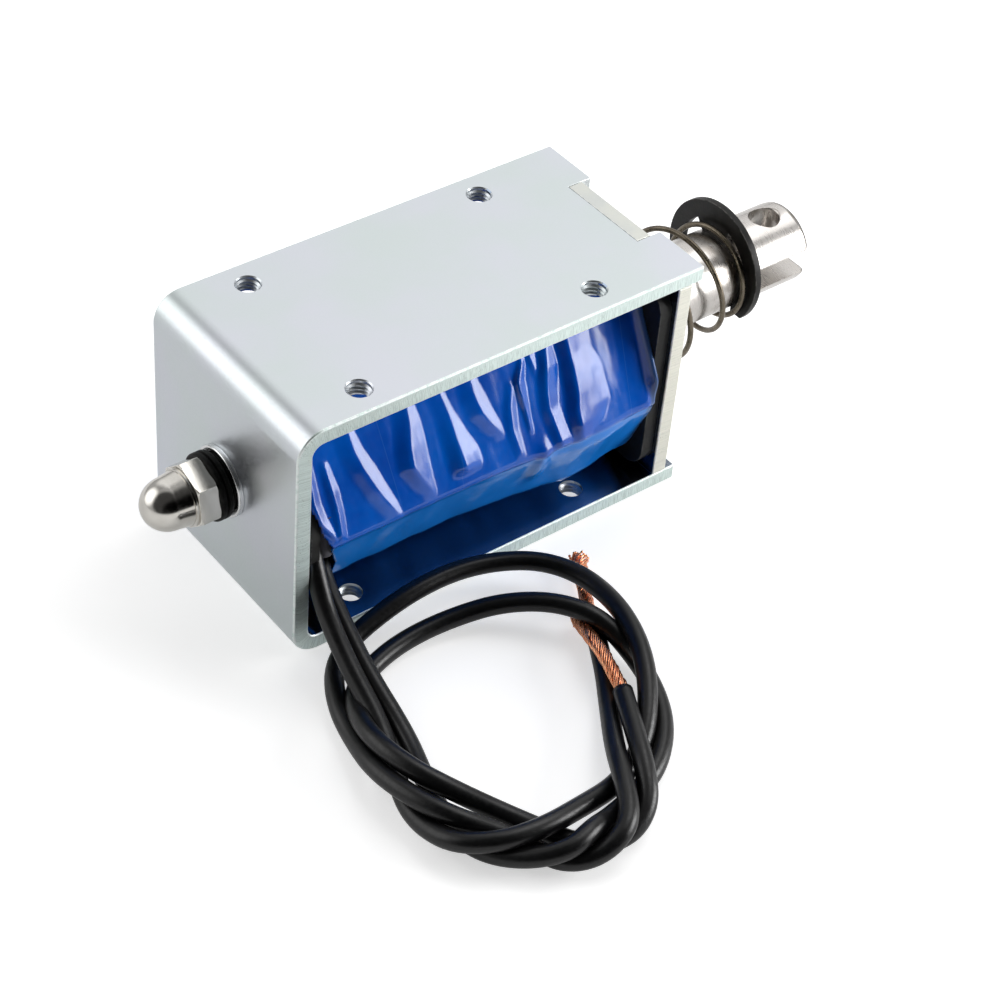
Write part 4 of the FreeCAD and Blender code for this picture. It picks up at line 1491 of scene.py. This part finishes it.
LEAD_A = (
    (-0.0292, -0.0118, 0.0168), (-0.0311, -0.0155, 0.0190), (-0.0319, -0.0177, 0.0170),
    (-0.0324, -0.0199, 0.0144), (-0.0332, -0.0234, 0.0110), (-0.0344, -0.0310, 0.0072),
    (-0.0353, -0.0417, 0.0030), (-0.0380, -0.0485, 0.0016), (-0.0411, -0.0571, 0.0017),
    (-0.0408, -0.0657, 0.0042), (-0.0356, -0.0706, 0.0056), (-0.0281, -0.0719, 0.0054),
    (-0.0202, -0.0708, 0.0038), (-0.0126, -0.0692, 0.0016), (-0.0062, -0.0668, 0.0016),
    (-0.0012, -0.0632, 0.0034), (0.0042, -0.0564, 0.0052), (0.0081, -0.0487, 0.0054),
    (0.0099, -0.0410, 0.0052), (0.0092, -0.0335, 0.0052), (0.0056, -0.0276, 0.0052),
    (-0.0008, -0.0238, 0.0052), (-0.0080, -0.0222, 0.0054), (-0.0158, -0.0222, 0.0052),
    (-0.0228, -0.0224, 0.0036), (-0.0290, -0.0232, 0.0018), (-0.0342, -0.0270, 0.0016),
    (-0.0377, -0.0334, 0.0016), (-0.0394, -0.0398, 0.0017), (-0.0415, -0.0479, 0.0040),
    (-0.0409, -0.0562, 0.0054), (-0.0380, -0.0632, 0.0054), (-0.0326, -0.0675, 0.0028),
    (-0.0296, -0.0725, 0.0016), (-0.0275, -0.0764, 0.0016), (-0.0240, -0.0788, 0.0028),
    (-0.0199, -0.0792, 0.0048), (-0.0164, -0.0770, 0.0056), (-0.0128, -0.0710, 0.0056),
    (-0.0091, -0.0646, 0.0042), (-0.0031, -0.0565, 0.0017), (0.0022, -0.0487, 0.0016),
    (0.0059, -0.0418, 0.0016))
LEAD_B = (
    (-0.0268, -0.0125, 0.0125), (-0.0286, -0.0148, 0.0128), (-0.0294, -0.0166, 0.0122),
    (-0.0299, -0.0188, 0.0109), (-0.0307, -0.0240, 0.0085), (-0.0317, -0.0325, 0.0049),
    (-0.0324, -0.0440, 0.0016), (-0.0352, -0.0525, 0.0016), (-0.0375, -0.0609, 0.0016),
    (-0.0368, -0.0677, 0.0016), (-0.0331, -0.0736, 0.0032), (-0.0278, -0.0772, 0.0052),
    (-0.0226, -0.0760, 0.0055), (-0.0182, -0.0744, 0.0030), (-0.0104, -0.0722, 0.0016),
    (-0.0036, -0.0692, 0.0016), (0.0020, -0.0638, 0.0016), (0.0056, -0.0570, 0.0016),
    (0.0073, -0.0490, 0.0019), (0.0056, -0.0429, 0.0052), (0.0017, -0.0365, 0.0054),
    (-0.0046, -0.0312, 0.0042), (-0.0118, -0.0282, 0.0024), (-0.0196, -0.0274, 0.0017),
    (-0.0268, -0.0286, 0.0016), (-0.0331, -0.0315, 0.0016), (-0.0369, -0.0366, 0.0034),
    (-0.0396, -0.0448, 0.0064), (-0.0385, -0.0526, 0.0066), (-0.0350, -0.0587, 0.0052),
    (-0.0302, -0.0636, 0.0022), (-0.0268, -0.0694, 0.0016), (-0.0239, -0.0749, 0.0016),
    (-0.0200, -0.0773, 0.0016), (-0.0154, -0.0776, 0.0020), (-0.0114, -0.0756, 0.0038),
    (-0.0086, -0.0710, 0.0052), (-0.0062, -0.0664, 0.0054), (-0.0035, -0.0613, 0.0050),
    (-0.0012, -0.0570, 0.0047))
BARE_A = (
    (0.0059, -0.0418, 0.0016), (0.0075, -0.0388, 0.0016), (0.0096, -0.0348, 0.0016),
    (0.0122, -0.0304, 0.0016), (0.0146, -0.0272, 0.0015))
BARE_B = (
    (-0.0012, -0.0570, 0.0047), (0.0000, -0.0534, 0.0049), (0.0012, -0.0495, 0.0049),
    (0.0023, -0.0452, 0.0042), (0.0038, -0.0412, 0.0029), (0.0050, -0.0382, 0.0016))


@dataclass
class Lead(SubAssembly):
    """One loose lead: its jacket, and the bare strands at its end. Sizes are in metres."""

    letter: str
    route: Sequence[Point]
    bare: Sequence[Point]
    length: float
    frayed: float
    radius: float = 0.0016
    bundle_radius: float = 0.00102
    strand_radius: float = 0.00016
    layers: tuple[tuple[int, float], ...] = ((2, 0.12), (7, 0.55), (15, 0.94))
    radius_range: tuple[float, float] = (0.93, 1.05)
    reach_range: tuple[float, float] = (0.93, 1.0)
    turn_error: float = 0.1
    lay_length: float = 0.011
    waver: float = 0.00006
    waver_length: float = 0.0011
    frays_from: float = 0.55
    tip_size: float = 1.55
    floor_gap: float = 1.3
    seed: int = 3

    def build(self) -> None:
        """Lay the jacket along its route and twist the strands along theirs."""
        copper = self.twist()
        self.keep(copper, Body.FRAME, "bare_copper", f"lead_{self.letter}_conductor")
        jacket = meshed(nurbs(f"jacket_{self.letter}", [self.route], radius=self.radius, roundness=6))
        self.keep(jacket, Body.FRAME, "black_pvc", f"lead_{self.letter}")
        [tuple(p) for p in self.centreline(self.route)]

    def centreline(self, route: Sequence[Point]) -> list[Vector]:
        """Read the points along the smooth line that a route makes.

        Args:
            route: The line's control points.

        Returns:
            Points close together along the line.
        """
        line = nurbs("centreline", [route])
        mesh = bpy.data.meshes.new_from_object(line)
        points = [vertex.co.copy() for vertex in mesh.vertices]
        bpy.data.objects.remove(line)
        bpy.data.meshes.remove(mesh)
        return points

    def numbers(self, layer: int) -> range:
        """The strands of one layer, counted over the whole bundle."""
        first = sum(count for count, _ in self.layers[:layer])
        return range(first, first + self.layers[layer][0])

    def strand(self, line: Sequence[Vector], radius: float, turn: float, layer: int,
               chance: random.Random) -> list[Vector]:
        """Lay one strand round the bare end's line.

        Args:
            line: Points along the line.
            radius: How far the strand lies from the line.
            turn: Where round the line it starts, in turns.
            layer: Its layer, counted outwards.
            chance: The source of its small differences.

        Returns:
            The strand's control points.
        """
        radius *= chance.uniform(*self.radius_range)
        start = math.tau * turn + layer + chance.uniform(-self.turn_error, self.turn_error)
        spread = chance.uniform(0.0, self.frayed)
        total = sum((b - a).length for a, b in zip(line, line[1:]))
        reach = total * chance.uniform(*self.reach_range)
        wave = chance.uniform(0.0, math.tau)
        points, gone, side = [], 0.0, Vector((0.0, 0.0, 1.0))
        for place, (point, after) in enumerate(zip(line, line[1:] + line[-1:])):
            if gone > reach:
                break
            ahead = (after - point).normalized() if place < len(line) - 1 else ahead
            side = (side - ahead * side.dot(ahead)).normalized()
            other = ahead.cross(side)
            angle = start + math.tau * gone / self.lay_length
            loose = max(gone / total - self.frays_from, 0.0) / (1.0 - self.frays_from)
            out = radius + spread * loose * loose + self.waver * math.sin(gone / self.waver_length + wave)
            spot = point + (side * math.cos(angle) + other * math.sin(angle)) * out
            spot.z = max(spot.z, self.strand_radius * self.floor_gap)
            points.append(spot)
            gone += (after - point).length
        return points

    def twist(self) -> bpy.types.Object:
        """Twist the strands round the bare end's line and fray them at its tip.

        Returns:
            The strands, with a small bead on each tip.
        """
        chance = random.Random(self.seed)
        line = self.centreline(self.bare)
        strands = [self.strand(line, self.bundle_radius * share, index / count, layer, chance)
                   for layer, (count, share) in enumerate(self.layers) for index in self.numbers(layer)]
        bundle = nurbs("strands", strands, fineness=2, radius=self.strand_radius, roundness=1)
        mesh = bpy.data.meshes.new_from_object(bundle)
        bpy.data.objects.remove(bundle)
        draft = Draft()
        draft.bm.from_mesh(mesh)
        bpy.data.meshes.remove(mesh)
        for strand in strands:
            bmesh.ops.create_icosphere(draft.bm, subdivisions=2, radius=self.strand_radius * self.tip_size,
                                       matrix=Matrix.Translation(strand[-1]))
        draft.scale(1 / MM)
        return draft.finish(f"strands_{self.letter}", sharper_than=60.0)

    def dress(self) -> None:
        """Soft black jacket and bare copper."""
        self.coat(PVC, f"jacket_{self.letter}")
        self.coat(COPPER, f"strands_{self.letter}")


# The studio

@dataclass(frozen=True)
class SoftBox:
    """A square soft light that looks at the object. Radiance 1 is a white surface in full light."""

    name: str
    direction: Point
    distance: float
    side: float
    radiance: float
    aim: Point = (0.010, -0.010, 0.020)

    def hang(self) -> None:
        """Place the light so that only what it lights shows it."""
        data = bpy.data.lights.new(self.name, "AREA")
        data.shape = "SQUARE"
        data.size = self.side
        data.energy = math.pi * self.radiance * self.side ** 2
        light = link(bpy.data.objects.new(self.name, data))
        out = Vector(self.direction).normalized()
        facing = out.to_track_quat("Z", "Y").to_matrix().to_4x4()
        light.matrix_world = Matrix.Translation(Vector(self.aim) + out * self.distance) @ facing
        light.visible_camera = False


SOFT_BOXES = (
    SoftBox("key_light", (0.80, -0.58, 0.25), distance=0.60, side=0.33, radiance=10.0),
    SoftBox("top_light", (0.50, 0.05, 0.86), distance=0.80, side=0.44, radiance=2.2))


@dataclass
class Studio:
    """The pale floor, the soft lights and the camera at the photograph's angle."""

    eye: Point = (-0.1895, -0.2398, 0.2782)
    azimuth: float = -39.4439
    elevation: float = 40.6985
    roll: float = 4.308
    lens: float = 88.66
    shift: tuple[float, float] = (0.0501, -0.0670)
    floor_reach: float = 4.0
    floor_drop: float = 0.0002
    floor_tone: float = 0.80
    floor_glow: float = 0.55
    mirrored_glow: float = 0.5
    ambient: float = 0.48
    bright_panels: tuple[tuple[Point, float, float, float], ...] = (
        ((0.48, 0.62, 0.62), 20, 38, 0.62), ((-0.66, 0.585, 0.46), 10, 36, 1.65),
        ((0.48, -0.64, 0.60), 12, 26, 0.9))
    dark_panels: tuple[tuple[Point, float, float, float], ...] = (
        ((-0.08, 0.585, 0.81), 4, 18, 0.75), ((0.50, -0.85, 0.15), 30, 58, 0.06),
        ((-0.48, -0.585, 0.652), 44, 58, 0.12), ((-0.20, -0.93, 0.22), 26, 44, 0.05))

    def camera(self) -> None:
        """Place the camera and make it the scene's."""
        azimuth, elevation, roll = (math.radians(a) for a in (self.azimuth, self.elevation, self.roll))
        back = Vector((math.sin(azimuth) * math.cos(elevation), -math.cos(azimuth) * math.cos(elevation),
                       math.sin(elevation)))
        level = (-back).cross(Vector((0, 0, 1))).normalized()
        raised = level.cross(-back)
        right = level * math.cos(roll) + raised * math.sin(roll)
        up = raised * math.cos(roll) - level * math.sin(roll)
        data = bpy.data.cameras.new("camera")
        data.lens = self.lens
        data.shift_x, data.shift_y = self.shift
        data.clip_start = 0.01
        camera = link(bpy.data.objects.new("camera", data))
        turned = Matrix((right, up, back)).transposed().to_4x4()
        camera.matrix_world = Matrix.Translation(self.eye) @ turned
        bpy.context.scene.camera = camera

    def floor(self) -> None:
        """Lay a wide pale floor that shows white and keeps the shadow."""
        bm = bmesh.new()
        bmesh.ops.create_grid(bm, x_segments=1, y_segments=1, size=self.floor_reach,
                              matrix=Matrix.Translation((0.0, 0.0, -self.floor_drop)))
        mesh = bpy.data.meshes.new("floor")
        bm.to_mesh(mesh)
        bm.free()
        floor = link(bpy.data.objects.new("floor", mesh))
        material = bpy.data.materials.new("pale_floor")
        material.use_nodes = True
        bench = Bench(material.node_tree)
        matte = bench.add("BsdfDiffuse", {"Color": (*(self.floor_tone,) * 3, 1.0)})
        path = bench.add("LightPath").outputs
        mirrored = bench.calc("MAXIMUM", path["Is Glossy Ray"], path["Is Transmission Ray"])
        shown = bench.calc("MAXIMUM", path["Is Camera Ray"], bench.times(mirrored, self.mirrored_glow))
        glow = bench.add("Emission", {"Color": (1, 1, 1, 1), "Strength": bench.times(shown, self.floor_glow)})
        both = bench.add("AddShader", {0: matte.outputs[0], 1: glow.outputs[0]})
        output = bench.add("OutputMaterial")
        bench.tree.links.new(both.outputs[0], output.inputs["Surface"])
        mesh.materials.append(material)

    def sky(self) -> None:
        """Surround the object with soft grey panels, dark behind the camera and white to look at."""
        world = bpy.data.worlds.new("studio")
        world.use_nodes = True
        bpy.context.scene.world = world
        bench = Bench(world.node_tree)
        direction = bench.add("TexCoord").outputs["Generated"]

        def panel(middle: Point, inner: float, outer: float) -> Output:
            """A soft round patch of sky.

            Args:
                middle: The direction of its middle.
                inner: Where it starts to fade, in degrees.
                outer: Where it is gone, in degrees.

            Returns:
                The patch, from 0 to 1.
            """
            near = bench.add("VectorMath", {0: direction, 1: Vector(middle).normalized()},
                             operation="DOT_PRODUCT").outputs["Value"]
            return bench.fade(near, math.cos(math.radians(outer)), math.cos(math.radians(inner)))

        level: Socket = self.ambient
        for middle, inner, outer, added in self.bright_panels:
            level = bench.plus(level, bench.times(panel(middle, inner, outer), added))
        for middle, inner, outer, kept in self.dark_panels:
            held = bench.times(panel(middle, inner, outer), 1.0 - kept)
            level = bench.times(level, bench.calc("SUBTRACT", 1.0, held))
        around = bench.add("Background", {"Color": (1, 1, 1, 1), "Strength": level})
        white = bench.add("Background", {"Color": (1, 1, 1, 1), "Strength": 1.0})
        shown = bench.add("MixShader", {0: bench.add("LightPath").outputs["Is Camera Ray"],
                                        1: around.outputs[0], 2: white.outputs[0]})
        output = bench.add("OutputWorld")
        bench.tree.links.new(shown.outputs[0], output.inputs["Surface"])

    def build(self) -> None:
        """Set the whole studio up."""
        self.camera()
        self.floor()
        self.sky()
        for box in SOFT_BOXES:
            box.hang()
        bpy.context.scene.view_settings.view_transform = "Standard"


def main() -> None:
    """Load the frame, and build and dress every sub-assembly."""
    logging.basicConfig(level=logging.INFO, format="%(message)s")
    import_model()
    assemblies: list[SubAssembly] = [
        SheetFrame(), CoreAndGuide(), TapedCoil(), StopStack(), PlungerAndClip(),
        Lead("a", LEAD_A, BARE_A, length=0.293, frayed=0.0009, seed=5),
        Lead("b", LEAD_B, BARE_B, length=0.259, frayed=0.0005, seed=9)]
    for assembly in assemblies:
        assembly.build()
        assembly.dress()
        for name, piece in assembly.pieces.items():
            faces = len(piece.data.polygons) if piece.type == "MESH" else 0
            LOG.info("%s: %s, %d faces", type(assembly).__name__, name, faces)
    Studio().build()
    bpy.context.view_layer.update()


if __name__ == "__main__":
    main()
